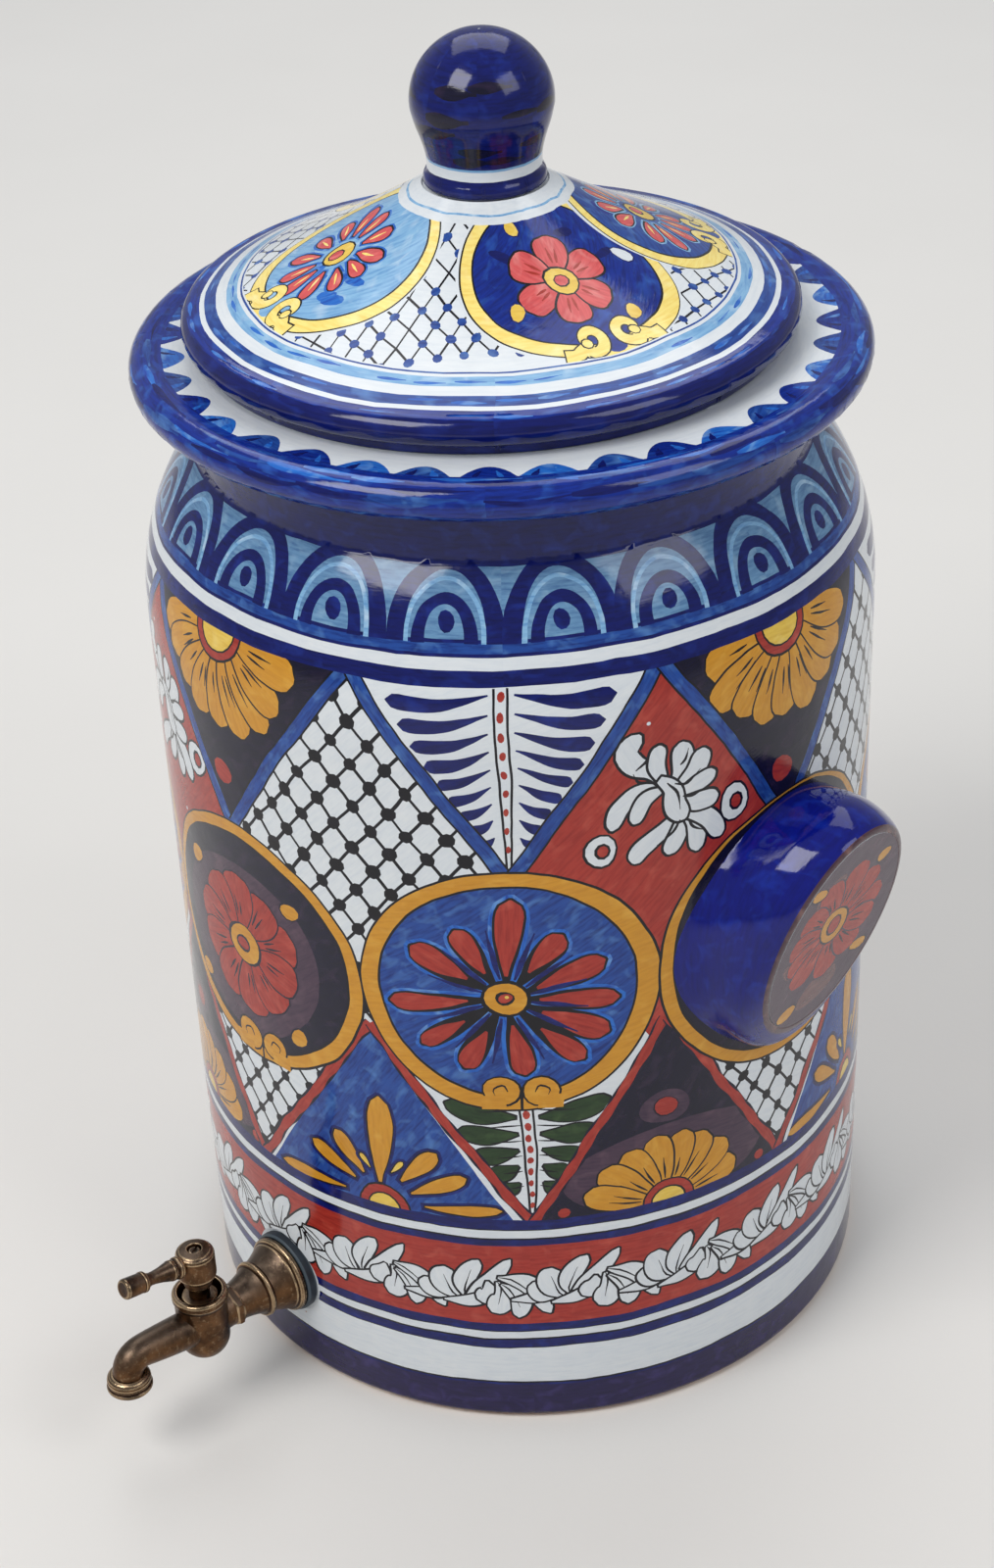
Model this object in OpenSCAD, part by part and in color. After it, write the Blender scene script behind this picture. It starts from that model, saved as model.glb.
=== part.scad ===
// Glazed clay water pot with a lift-off lid and a brass lever tap.
// Millimetres. Origin at the middle of the base, on the table. Z is up.
// The tap points along -Y, the two side handles sit on +X and -X.

/* [Pot] */
// Outside radius of the pot wall at its widest
body_r = 136; // [120:150]
// Outside radius where the wall meets the rounded foot
foot_r = 134; // [118:148]
// Height where the straight wall turns into the shoulder
shoulder_z = 308; // [280:320]
// Height of the rounded shoulder
shoulder_h = 60; // [50:70]
// How full the shoulder is: 1 is a plain quarter ellipse, more is leaner
shoulder_lean = 1.8; // [1.2:0.1:2.4]
// Outside radius of the neck under the brim
neck_r = 112.5; // [105:116]
// Wall thickness of the pot
wall = 8; // [6:10]
// Thickness of the pot's floor
floor_t = 10; // [8:14]
// Rounding of the bottom edge
foot_round = 3.5; // [2:5]
// Inside radius of the mouth
mouth_r = 99.5; // [94:100]

/* [Brim] */
// Height of the flat top of the brim
brim_z = 402.6; // [398:408]
// Width of the brim from the mouth to the middle of its rolled edge
brim_w = 27; // [23:30]
// Radius of the rolled edge itself
brim_roll = 6.8; // [5:8]
// Thickness of the brim plate
brim_t = 9; // [7:10]

/* [Lid] */
// How far the middle of the lid's rolled edge lies outside the mouth
lid_over = 5.5; // [4.5:7]
// Radius of the lid's rolled edge itself
lid_roll = 5.5; // [4.5:6]
// Height of the middle of the lid's rolled edge above the brim
lid_roll_up = 9.4; // [8.5:11]
// Thickness of the lid dome
lid_t = 6; // [5:8]
// Rise of the dome from its edge to the foot of the knob
lid_rise = 41; // [34:46]
// How much the dome sweeps up towards the knob, 0 is a plain cone
lid_sweep = 2.5; // [0:0.5:4]
// Clearance all round between the locating ring and the mouth
ring_gap = 5; // [4.5:8]
// How far the locating ring reaches down into the mouth
ring_d = 12; // [8:16]
// How far the lid sits off centre to one side, as it was put down
lid_off_x = -2; // [-2:0.5:2]
// How far the lid sits off centre towards the front
lid_off_y = -2.2; // [-2.2:0.2:2.2]

/* [Knob] */
// Largest radius of the knob
knob_r = 25.2; // [22:27]
// Height of the knob above its foot
knob_h = 53.5; // [48:58]
// Radius of the knob's foot ring
knob_foot_r = 21.6; // [19:23]
// Radius of the waist above the foot ring
knob_waist_r = 20.2; // [18:21]
// Radius of the stub that goes through the lid
knob_stub_r = 9; // [7:10]

/* [Side handles] */
// Height of the middle of each handle
lug_z = 210; // [195:225]
// Half width of each handle's face
lug_w = 35; // [31:37]
// Half length of each handle's face
lug_l = 51; // [46:54]
// How far the middle of each handle's face stands out from the wall
lug_out = 21.6; // [18:25]
// Turn of the pair of handles round the pot, away from the tap's square axis
lug_turn = 3; // [-4:4]

/* [Tap] */
// Height of the tap above the table
tap_z = 43; // [41:46]
// Radius of the threaded shank
shank_r = 9.8; // [9:10]
// Radius of the hole through the wall
hole_r = 10.4; // [10.2:10.8]
// Radius of the flat seat round the hole
seat_r = 18; // [17.8:20]
// Radius of the rubber washers
washer_r = 16.8; // [16.6:17.4]
// Radius of the tap's wall flange
flange_r = 15.8; // [15:16.4]
// Distance from the wall to the middle of the valve chamber
chamber_e = 42; // [40:46]
// Outside radius of the valve chamber
chamber_r = 10.2; // [10:10.8]
// Radius of the bore that holds the valve plug
plug_bore_r = 6.5; // [6:6.8]
// Running clearance of the plug in its bore
plug_fit = 0.05; // [0.02:0.01:0.08]
// Radius of the waterway
water_r = 3.8; // [3:4]
// Distance from the wall to the middle of the spout's outlet
outlet_e = 78.5; // [76:82]
// Radius of the opening of the outlet
outlet_r = 5.2; // [4.6:5.6]
// Height of the bell-shaped outlet piece
outlet_h = 6.8; // [6:7.5]

/* [Lever] */
// Radius of the lever's hub
hub_r = 7.6; // [7:8.2]
// Height of the top of the hub above the tap's middle
hub_top = 37.5; // [36:40]
// Reach of the lever from the middle of the hub to its tip
lever_l = 34.5; // [31:38]
// Upward slope of the lever in degrees
lever_tilt = 11; // [5:13]
// Turn of the lever away from the spout, 0 is closed
lever_turn = 0; // [0:90]

/* [Hidden] */
$fn = 96;

tiny = 0.01;
clay_c = [0.93, 0.94, 0.95];
navy_c = [0.08, 0.10, 0.35];
brass_c = [0.55, 0.42, 0.25];
rubber_c = [0.10, 0.10, 0.11];

brim_roll_r = mouth_r + brim_w;
lid_roll_r = mouth_r + lid_over;
ring_r = mouth_r - ring_gap;
neck_z = shoulder_z + shoulder_h;
wall_low_z = shoulder_z * 0.3084;
wall_mid_z = shoulder_z * 0.6494;
wall_top_z = shoulder_z - 18;
corner_r = 14;
brim_mid_z = brim_z + 1.2 - brim_roll;
wall_y = body_r - 1;
wall_at_tap = foot_r + (body_r - 1 - foot_r) * (tap_z - foot_round) / (wall_low_z - foot_round);
seat_y = wall_at_tap - 1.6;
seat_in_y = wall_at_tap - wall - 1.9;
chamber_y = wall_y + chamber_e;
outlet_y = wall_y + outlet_e;
washer_t = 4.2;
inner_t = 3;
back_t = 1.5;
nut_t = 7;
nut_r = 15.6;
flange_y = seat_y + washer_t;
shank_end = seat_in_y - inner_t - back_t - nut_t - 2.4;

// Half profile of the shoulder, from the straight wall up to the neck.
function shoulder_pts(r0, r1, z0, h, n) = [
    for (i = [0 : n])
        let (u = 90 * i / n)
        [r1 + (r0 - r1) * pow(max(cos(u), 0), shoulder_lean), z0 + h * sin(u)]
];

// Points of an arc about (cr, cz) from angle a0 to a1.
function arc_pts(cr, cz, r, a0, a1, n) = [
    for (i = [0 : n])
        let (a = a0 + (a1 - a0) * i / n)
        [cr + r * cos(a), cz + r * sin(a)]
];

// ---------------------------------------------------------------- pot

module pot_profile_outer() {
    polygon(concat(
        [[0, 0], [foot_r - foot_round, 0]],
        arc_pts(foot_r - foot_round, foot_round, foot_round, -70, 0, 5),
        [[body_r - 1, wall_low_z], [body_r - 0.5, wall_mid_z], [body_r, wall_top_z]],
        shoulder_pts(body_r, neck_r, shoulder_z, shoulder_h, 14),
        [[neck_r, neck_z + 6], [neck_r + 1.5, brim_mid_z - 10]],
        [[neck_r + 5, brim_mid_z - brim_roll + 0.6]],
        arc_pts(brim_roll_r, brim_mid_z, brim_roll, -100, 100, 20),
        [[brim_roll_r - 6, brim_z], [0, brim_z]]
    ));
}

module pot_profile_inner() {
    polygon(concat(
        [[0, floor_t], [foot_r - wall - corner_r, floor_t]],
        arc_pts(foot_r - wall - corner_r, floor_t + corner_r, corner_r, -80, 0, 8),
        [[body_r - 1 - wall, wall_low_z], [body_r - wall, wall_top_z]],
        shoulder_pts(body_r - wall, neck_r - wall - 1, shoulder_z - 3, shoulder_h - 2, 14),
        [[neck_r - wall - 1, brim_z - brim_t - 8]],
        [[mouth_r, brim_z - brim_t + 1], [mouth_r, brim_z - 1.5]],
        arc_pts(mouth_r + 1.5, brim_z - 1.5, 1.5, 180, 90, 4),
        [[mouth_r + 1.5, brim_z + 1], [0, brim_z + 1]]
    ));
}

module along_front(y, z) {
    translate([0, -y, z]) rotate([90, 0, 0]) children();
}

module pot_outside() {
    rotate_extrude() pot_profile_outer();
}

module pot_body() {
    color(clay_c) difference() {
        union() {
            difference() {
                pot_outside();
                rotate_extrude() pot_profile_inner();
            }
            // flat pad inside, where the lock nut's washers bear
            along_front(seat_in_y, tap_z) cylinder(r = seat_r, h = wall / 2 + 1);
        }
        // flat seats outside and inside, where the rubber washers bear
        along_front(seat_y, tap_z) cylinder(r = seat_r, h = 12);
        along_front(seat_in_y - 12, tap_z) cylinder(r = seat_r, h = 12);
        // hole for the threaded shank
        along_front(seat_in_y - 6, tap_z) cylinder(r = hole_r, h = 30);
    }
}

// ---------------------------------------------------------------- side handles

// Each section, from the wall out to the rim: distance out as a share of lug_out,
// height as a share of lug_l, lean in degrees, half length as a share of lug_l and
// half width as a share of lug_w.
lug_sections = [
    [-0.648, -0.059, 0, 1.118, 1.6],
    [-0.417, -0.053, 0, 1.114, 1.457],
    [-0.231, -0.047, 0, 1.11, 1.337],
    [-0.046, -0.039, 1, 1.108, 1.291],
    [0.139, -0.029, 3, 1.106, 1.269],
    [0.324, -0.02, 5.5, 1.098, 1.229],
    [0.509, -0.012, 8.5, 1.084, 1.183],
    [0.671, -0.004, 11, 1.065, 1.137],
    [0.81, 0.004, 13.5, 1.039, 1.08],
    [0.907, 0.008, 15.2, 1.014, 1.034],
    [0.972, 0.01, 16.2, 0.984, 0.989],
    [1, 0.01, 16.5, 0.941, 0.931]
];
lug_n = 56;
lug_sink = 0.6;

// One oval ring of the handle, leaning outward at the top.
function lug_ring(s) =
    let (lean = s[2], half_l = s[3] * lug_l, half_w = s[4] * lug_w)
    [for (j = [0 : lug_n - 1])
        let (a = 360 * j / lug_n, v = half_l * cos(a))
        [
            body_r - lug_sink + s[0] * lug_out + v * sin(lean),
            half_w * sin(a),
            lug_z + s[1] * lug_l + v * cos(lean)
        ]];

module lug_solid() {
    m = len(lug_sections);
    pts = [for (s = lug_sections) each lug_ring(s)];
    sides = [for (i = [0 : m - 2]) for (j = [0 : lug_n - 1])
        let (k = (j + 1) % lug_n)
        [i * lug_n + j, (i + 1) * lug_n + j, (i + 1) * lug_n + k, i * lug_n + k]];
    back = [[for (j = [0 : lug_n - 1]) j]];
    front = [[for (j = [lug_n - 1 : -1 : 0]) (m - 1) * lug_n + j]];
    polyhedron(points = pts, faces = concat(sides, back, front), convexity = 4);
}

module lug() {
    color(navy_c) difference() {
        lug_solid();
        pot_outside();
    }
}

module side_handle_right() {
    rotate([0, 0, lug_turn]) lug();
}

module side_handle_left() {
    rotate([0, 0, lug_turn + 180]) lug();
}

// ---------------------------------------------------------------- lid

lid_edge_z = brim_z + lid_roll_up;
lid_foot_z = lid_edge_z + lid_roll * 0.9 + lid_rise;
knob_seat_r = knob_foot_r + 1.4;

// Height of the dome's outside at radius r.
function dome_z(r) =
    let (t = (lid_roll_r - r) / (lid_roll_r - knob_seat_r))
    lid_edge_z + lid_roll * 0.9 + lid_rise * t - lid_sweep * sin(180 * t);

function dome_pts(r0, r1, drop, n) = [
    for (i = [0 : n])
        let (r = r0 + (r1 - r0) * i / n)
        [r, dome_z(r) - drop]
];

module lid_place() {
    translate([lid_off_x, lid_off_y, 0]) children();
}

module lid() {
    color(clay_c) lid_place() difference() {
        rotate_extrude() polygon(concat(
            // under the seat and the locating ring
            [[ring_r - 7, brim_z - ring_d + 1.5], [ring_r - 5.5, brim_z - ring_d]],
            [[ring_r - 1.5, brim_z - ring_d], [ring_r, brim_z - ring_d + 1.5]],
            [[ring_r, brim_z + 1.2], [ring_r + 3, brim_z + 1.2]],
            [[ring_r + 3.6, brim_z], [lid_roll_r - 1, brim_z]],
            [[lid_roll_r, brim_z + 1.6]],
            arc_pts(lid_roll_r, lid_edge_z, lid_roll, -88, 84, 16),
            dome_pts(lid_roll_r - 1, knob_seat_r, 0, 16),
            [[0, lid_foot_z], [0, lid_foot_z - lid_t]],
            dome_pts(knob_seat_r, ring_r - 9, lid_t, 12),
            [[ring_r - 7.4, dome_z(ring_r - 9) - lid_t - 2]]
        ));
        translate([0, 0, lid_foot_z - lid_t - 2]) cylinder(r = knob_stub_r, h = lid_t + 4);
    }
}

module lid_knob() {
    zk = lid_foot_z;
    rc = knob_h - knob_r * 0.97;
    color(navy_c) lid_place() union() {
        rotate_extrude() polygon(concat(
            [[0, zk], [knob_foot_r - 0.8, zk], [knob_foot_r, zk + 0.9]],
            [[knob_foot_r, zk + 3.8], [knob_foot_r - 0.7, zk + 4.8]],
            [[knob_waist_r, zk + 5.6], [knob_waist_r, zk + 10]],
            [[knob_waist_r + 1.1, zk + 14.5], [knob_waist_r + 2.9, zk + 20]],
            [[knob_r - 0.7, zk + rc - 3.6]],
            [for (i = [0 : 15]) let (a = 6 * i) [knob_r * cos(a), zk + rc + knob_r * 0.97 * sin(a)]]
        ));
        // stub luted through the lid
        translate([0, 0, zk - lid_t - 1.5]) cylinder(r = knob_stub_r, h = lid_t + 2.5);
    }
}

// ---------------------------------------------------------------- tap

cup_top = 16.5;
cup_r = 8.6;
cup_floor = 8.5;
gland_top = 14.5;
packing_top = 8;
packing_bottom = 6.2;
plug_top = 6;
plug_bottom = -7.4;
stem_r = 4.1;
stem_top = 31.5;

module at_chamber() {
    translate([0, -chamber_y, tap_z]) children();
}

module bell_profile() {
    h = chamber_y - flange_y;
    polygon([
        [0, 0], [flange_r - 0.6, 0], [flange_r, 0.7], [flange_r, 2.0], [flange_r - 0.7, 2.8],
        [flange_r - 1.5, 3.0], [flange_r - 1.5, 3.8], [flange_r - 2.1, 4.6],
        [flange_r - 3.0, 6.2], [flange_r - 4.1, 8.2], [flange_r - 4.8, 10.4],
        [flange_r - 5.1, 12.2], [flange_r - 4.3, 12.6], [flange_r - 3.9, 13.4],
        [flange_r - 4.4, 14.3], [flange_r - 5.6, 14.8], [flange_r - 6.6, 17.0],
        [flange_r - 7.6, 19.6], [flange_r - 8.0, 22.0], [flange_r - 8.2, 24.0],
        [flange_r - 8.2, h], [0, h]
    ]);
}

bend_r = 6.5;
spout_run = outlet_e - chamber_e - bend_r;
spout_up = 4.5;
spout_r = 6.1;
spout_root_r = 7.6;
grip_r = 8.9;
lip_r = 8.9;
grip_from = 15.5;
inlet_r = 5.5;

// The spout's path as a solid of radius r: out, slightly up, then a bend down.
module spout_path(r_start, r) {
    at_chamber() {
        rotate([90 - atan(spout_up / spout_run), 0, 0])
            cylinder(r1 = r_start, r2 = r, h = norm([spout_run, spout_up]));
        translate([0, -spout_run, spout_up]) sphere(r = r);
        translate([0, -spout_run, spout_up - bend_r]) rotate([0, -90, 0]) rotate([0, 0, -90])
            rotate_extrude(angle = 90) translate([bend_r, 0]) circle(r = r);
    }
}

module tap_body() {
    color(brass_c) difference() {
        union() {
            // threaded shank through the wall
            along_front(shank_end, tap_z) cylinder(r = shank_r, h = flange_y - shank_end + 1);
            // bell flange and neck
            along_front(flange_y, tap_z) rotate_extrude() bell_profile();
            // six-sided grip between bell and chamber
            along_front(chamber_y - grip_from, tap_z) cylinder(r = grip_r, h = 4.2, $fn = 6);
            // valve chamber with its round bottom and open cup
            at_chamber() rotate_extrude() polygon(concat(
                [for (i = [0 : 12]) let (a = -90 + 7.5 * i)
                    [chamber_r * cos(a), -5 + chamber_r * sin(a)]],
                [[chamber_r, 12.4], [chamber_r + 0.7, 13.2], [chamber_r + 0.7, cup_top - 0.7]],
                [[chamber_r, cup_top], [0, cup_top]]
            ));
            spout_path(spout_root_r, spout_r);
        }
        // waterway from the pot to the plug
        along_front(shank_end - 1, tap_z) cylinder(r = inlet_r, h = 22);
        along_front(shank_end + 10, tap_z) cylinder(r = water_r, h = chamber_y - shank_end - 10);
        // bore for the plug, packing and gland nut, with the open cup above
        at_chamber() translate([0, 0, plug_bottom - 0.4]) cylinder(r = plug_bore_r, h = 60);
        at_chamber() translate([0, 0, cup_floor]) cylinder(r = cup_r, h = 60);
        spout_path(water_r, water_r);
    }
}

module spout_outlet() {
    h = outlet_h;
    color(brass_c) translate([0, -outlet_y, tap_z + spout_up - bend_r - h]) difference() {
        rotate_extrude() polygon([
            [0, 0], [lip_r - 0.6, 0], [lip_r, 0.6], [lip_r, 1.6], [lip_r - 0.7, 2.3],
            [lip_r - 0.4, 3.2], [lip_r - 0.3, 4.2], [lip_r - 0.6, h - 1.4],
            [lip_r - 1.4, h - 0.5], [lip_r - 2.3, h], [0, h]
        ]);
        translate([0, 0, -1]) cylinder(r = outlet_r, h = h + 2);
    }
}

module outer_washer() {
    color(rubber_c) along_front(seat_y, tap_z) difference() {
        cylinder(r = washer_r, h = washer_t);
        translate([0, 0, -1]) cylinder(r = shank_r, h = washer_t + 2);
    }
}

module inner_washer() {
    color(rubber_c) along_front(seat_in_y - inner_t, tap_z) difference() {
        cylinder(r = washer_r, h = inner_t);
        translate([0, 0, -1]) cylinder(r = shank_r, h = inner_t + 2);
    }
}

module backing_washer() {
    color(brass_c) along_front(seat_in_y - inner_t - back_t, tap_z) difference() {
        cylinder(r = washer_r - 1, h = back_t);
        translate([0, 0, -1]) cylinder(r = shank_r, h = back_t + 2);
    }
}

module lock_nut() {
    color(brass_c) along_front(seat_in_y - inner_t - back_t - nut_t, tap_z) difference() {
        intersection() {
            cylinder(r = nut_r, h = nut_t, $fn = 6);
            // corners turned off on the outer side
            rotate_extrude() polygon([
                [0, 0], [nut_r - 1.4, 0], [nut_r + 0.1, 1.2], [nut_r + 0.1, nut_t], [0, nut_t]
            ]);
        }
        translate([0, 0, -1]) cylinder(r = shank_r, h = nut_t + 2);
    }
}

module gland_packing() {
    color(rubber_c) at_chamber() translate([0, 0, packing_bottom]) difference() {
        cylinder(r = plug_bore_r, h = packing_top - packing_bottom);
        translate([0, 0, -1]) cylinder(r = stem_r + plug_fit, h = 10);
    }
}

module gland_nut() {
    color(brass_c) at_chamber() difference() {
        union() {
            translate([0, 0, packing_top]) cylinder(r = plug_bore_r, h = cup_floor - packing_top + 1);
            translate([0, 0, cup_floor]) cylinder(r = 7.9, h = gland_top - cup_floor, $fn = 6);
        }
        translate([0, 0, 0]) cylinder(r = stem_r + plug_fit, h = 30);
    }
}

// ---------------------------------------------------------------- lever and plug

module at_lever() {
    at_chamber() rotate([0, 0, lever_turn]) children();
}

o_r = 1;
seat_of_ring = 0.9;
squeeze = 0.07;
upper_ring_z = plug_top - 1.9;
lower_ring_z = plug_bottom + 1.9;
flat_half = 2.6;
flat_from = stem_top - 9.5;
screw_r = 1.4;
head_r = 2.7;
head_sink = 2.2;
hub_foot = 20;
plug_r = plug_bore_r - plug_fit;

module ring_body() {
    rotate_extrude() translate([plug_r - seat_of_ring, 0]) circle(r = o_r - squeeze);
}

module o_ring(z) {
    at_lever() translate([0, 0, z]) ring_body();
}

module valve_plug() {
    color(brass_c) at_lever() difference() {
        union() {
            translate([0, 0, plug_bottom]) cylinder(r = plug_r, h = plug_top - plug_bottom);
            cylinder(r = stem_r, h = flat_from);
            // two flats let the hub turn the stem
            intersection() {
                cylinder(r = stem_r - 0.6, h = stem_top);
                translate([-stem_r, -flat_half, 0]) cube([2 * stem_r, 2 * flat_half, stem_top]);
            }
        }
        // cross port: shut while it lies across the flow
        translate([-20, 0, 0]) rotate([0, 90, 0]) cylinder(r = water_r, h = 40);
        // grooves for the two rubber rings
        for (z = [lower_ring_z, upper_ring_z]) translate([0, 0, z]) ring_body();
        // hole for the screw
        translate([0, 0, stem_top - 8]) cylinder(r = screw_r, h = 12);
    }
}

module upper_o_ring() {
    color(rubber_c) o_ring(upper_ring_z);
}

module lower_o_ring() {
    color(rubber_c) o_ring(lower_ring_z);
}

hub_mid = hub_top - 6.2;
arm_root = hub_r - 2.2;
arm_peg_r = 2.4;
tip_len = 10.2;
tip_peg_r = 2;
tip_from = lever_l - tip_len;

module along_lever(s) {
    at_lever() translate([0, 0, hub_mid]) rotate([90 - lever_tilt, 0, 0]) translate([0, 0, s]) children();
}

module lever_hub() {
    color(brass_c) difference() {
        at_lever() difference() {
            rotate_extrude() polygon([
                [0, hub_foot], [hub_r - 2.4, hub_foot], [hub_r - 2, hub_foot + 0.5],
                [hub_r - 2, hub_foot + 3], [hub_r - 1, hub_foot + 4],
                [hub_r - 0.2, hub_foot + 4.7], [hub_r, hub_foot + 5.4],
                [hub_r, hub_top - 2.4], [hub_r - 0.5, hub_top - 1.4],
                [hub_r - 1.6, hub_top - 0.5], [hub_r - 3.4, hub_top - 0.1], [0, hub_top]
            ]);
            // round socket with two flats for the stem
            translate([0, 0, hub_foot - 1]) cylinder(r = stem_r, h = flat_from - hub_foot + 1);
            intersection() {
                cylinder(r = stem_r - 0.6, h = stem_top);
                translate([-stem_r, -flat_half, 0]) cube([2 * stem_r, 2 * flat_half, stem_top]);
            }
            // screw hole with its sunk head
            cylinder(r = screw_r, h = hub_top + 1);
            translate([0, 0, hub_top - head_sink]) cylinder(r = head_r, h = 4);
        }
        // socket for the arm
        along_lever(arm_root) cylinder(r = arm_peg_r, h = 20);
    }
}

module lever_arm() {
    s1 = tip_from;
    a = hub_r + 5.2;
    b = s1 - 2.6;
    color(brass_c) along_lever(0) difference() {
        union() {
            translate([0, 0, arm_root]) cylinder(r = arm_peg_r, h = 6);
            rotate_extrude() polygon([
                [0, hub_r + 0.4], [4.3, hub_r + 0.4], [4.5, hub_r + 0.9], [4.5, hub_r + 2.2],
                [3.9, hub_r + 2.8], [3.9, hub_r + 3.4], [4.2, hub_r + 4.0], [4.1, a],
                [3.6, a + 0.2 * (b - a)], [3.0, a + 0.5 * (b - a)], [2.6, a + 0.8 * (b - a)], [2.5, b],
                [2.9, s1 - 1.2], [3.3, s1], [0, s1]
            ]);
            translate([0, 0, s1 - 1]) cylinder(r = tip_peg_r, h = 7);
        }
        // the collar's back follows the round hub
        translate([0, 0, -30]) cylinder(r = 20, h = 30 + arm_root - tiny);
    }
}

module lever_tip() {
    color(brass_c) along_lever(tip_from) difference() {
        rotate_extrude() polygon([
            [0, 0], [3.9, 0], [4.2, 0.4], [4.2, 1.6], [3.9, 2.0],
            [4.1, tip_len - 0.8], [3.5, tip_len], [0, tip_len]
        ]);
        translate([0, 0, -1]) cylinder(r = tip_peg_r, h = 7);
    }
}

module hub_screw() {
    color(brass_c) at_lever() difference() {
        union() {
            translate([0, 0, hub_top - head_sink]) cylinder(r = head_r, h = 1.2);
            translate([0, 0, stem_top - 7.5]) cylinder(r = screw_r, h = hub_top - 2 - stem_top + 7.5);
        }
        translate([-0.35, -3, hub_top - 1.6]) cube([0.7, 6, 2]);
    }
}

// ---------------------------------------------------------------- drawing

pot_body();
side_handle_right();
side_handle_left();
lid();
lid_knob();
tap_body();
spout_outlet();
outer_washer();
inner_washer();
backing_washer();
lock_nut();
gland_packing();
gland_nut();
valve_plug();
upper_o_ring();
lower_o_ring();
lever_hub();
lever_arm();
lever_tip();
hub_screw();
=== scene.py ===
import math
import random
from bisect import bisect_right
from collections import namedtuple

import bpy
from mathutils import Matrix, Vector, noise
from mathutils.geometry import delaunay_2d_cdt


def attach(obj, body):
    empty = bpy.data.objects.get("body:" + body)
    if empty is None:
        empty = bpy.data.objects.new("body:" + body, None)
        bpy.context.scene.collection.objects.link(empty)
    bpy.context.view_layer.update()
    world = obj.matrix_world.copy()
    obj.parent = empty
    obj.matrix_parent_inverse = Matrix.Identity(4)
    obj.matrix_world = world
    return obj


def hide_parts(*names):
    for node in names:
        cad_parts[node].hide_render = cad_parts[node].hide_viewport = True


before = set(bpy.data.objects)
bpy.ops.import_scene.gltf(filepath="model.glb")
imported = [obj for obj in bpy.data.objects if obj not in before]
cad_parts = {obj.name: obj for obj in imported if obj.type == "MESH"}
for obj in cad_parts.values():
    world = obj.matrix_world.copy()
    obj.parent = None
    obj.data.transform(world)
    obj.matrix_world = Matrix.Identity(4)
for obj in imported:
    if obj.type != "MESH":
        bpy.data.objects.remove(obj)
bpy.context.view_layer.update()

MM = 0.001
TAU = 2 * math.pi
rng = random.Random(11)          # every loose line of the painting comes from this

# ------------------------------------------------------------ camera, floor, light

# the camera's place and aim, fitted to the ellipses and outlines in the photo
CAM_OUT, CAM_UP = 0.97753, 0.82371       # metres from the pot's axis and above the table
CAM_TURN = math.radians(-42)             # azimuth the camera stands at
PITCH, ROLL, PAN = 0.5608, 0.0465, -0.0089
SENSOR_MM, LENS_MM = 36.0, 67.5


def make_camera():
    """The camera as it stood for the photo."""
    ahead = Vector((-math.cos(CAM_TURN), -math.sin(CAM_TURN), 0))
    side = Vector((-math.sin(CAM_TURN), math.cos(CAM_TURN), 0))
    up = Vector((0, 0, 1))
    level = math.cos(PAN) * ahead + math.sin(PAN) * side
    side = math.cos(PAN) * side - math.sin(PAN) * ahead
    look = math.cos(PITCH) * level - math.sin(PITCH) * up
    top = math.sin(PITCH) * level + math.cos(PITCH) * up
    right = math.cos(ROLL) * side - math.sin(ROLL) * top
    top = math.sin(ROLL) * side + math.cos(ROLL) * top
    data = bpy.data.cameras.new("camera")
    data.sensor_fit, data.sensor_width, data.lens = "AUTO", SENSOR_MM, LENS_MM
    data.clip_start, data.clip_end = 0.05, 50
    cam = bpy.data.objects.new("camera", data)
    bpy.context.scene.collection.objects.link(cam)
    spot = Vector((math.cos(CAM_TURN) * CAM_OUT, math.sin(CAM_TURN) * CAM_OUT, CAM_UP))
    cam.matrix_world = Matrix((
        (right.x, top.x, -look.x, spot.x),
        (right.y, top.y, -look.y, spot.y),
        (right.z, top.z, -look.z, spot.z),
        (0, 0, 0, 1)))
    bpy.context.scene.camera = cam


def area_lamp(name, at, aim, size, power, tint=(1, 1, 1)):
    """A rectangular lamp that shines from at towards aim."""
    data = bpy.data.lights.new(name, "AREA")
    data.shape, data.size, data.size_y = "RECTANGLE", size[0], size[1]
    data.energy, data.color = power, tint
    lamp = bpy.data.objects.new(name, data)
    bpy.context.scene.collection.objects.link(lamp)
    lamp.location = at
    lamp.rotation_mode = "QUATERNION"
    lamp.rotation_quaternion = (Vector(aim) - Vector(at)).to_track_quat("-Z", "Y")


def srgb(r, g, b):
    """A colour given as 0 to 255, as linear values."""
    out = []
    for v in (r, g, b):
        v /= 255
        out.append(v / 12.92 if v <= 0.04045 else ((v + 0.055) / 1.055) ** 2.4)
    return (*out, 1.0)


# ------------------------------------------------------------ materials

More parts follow.
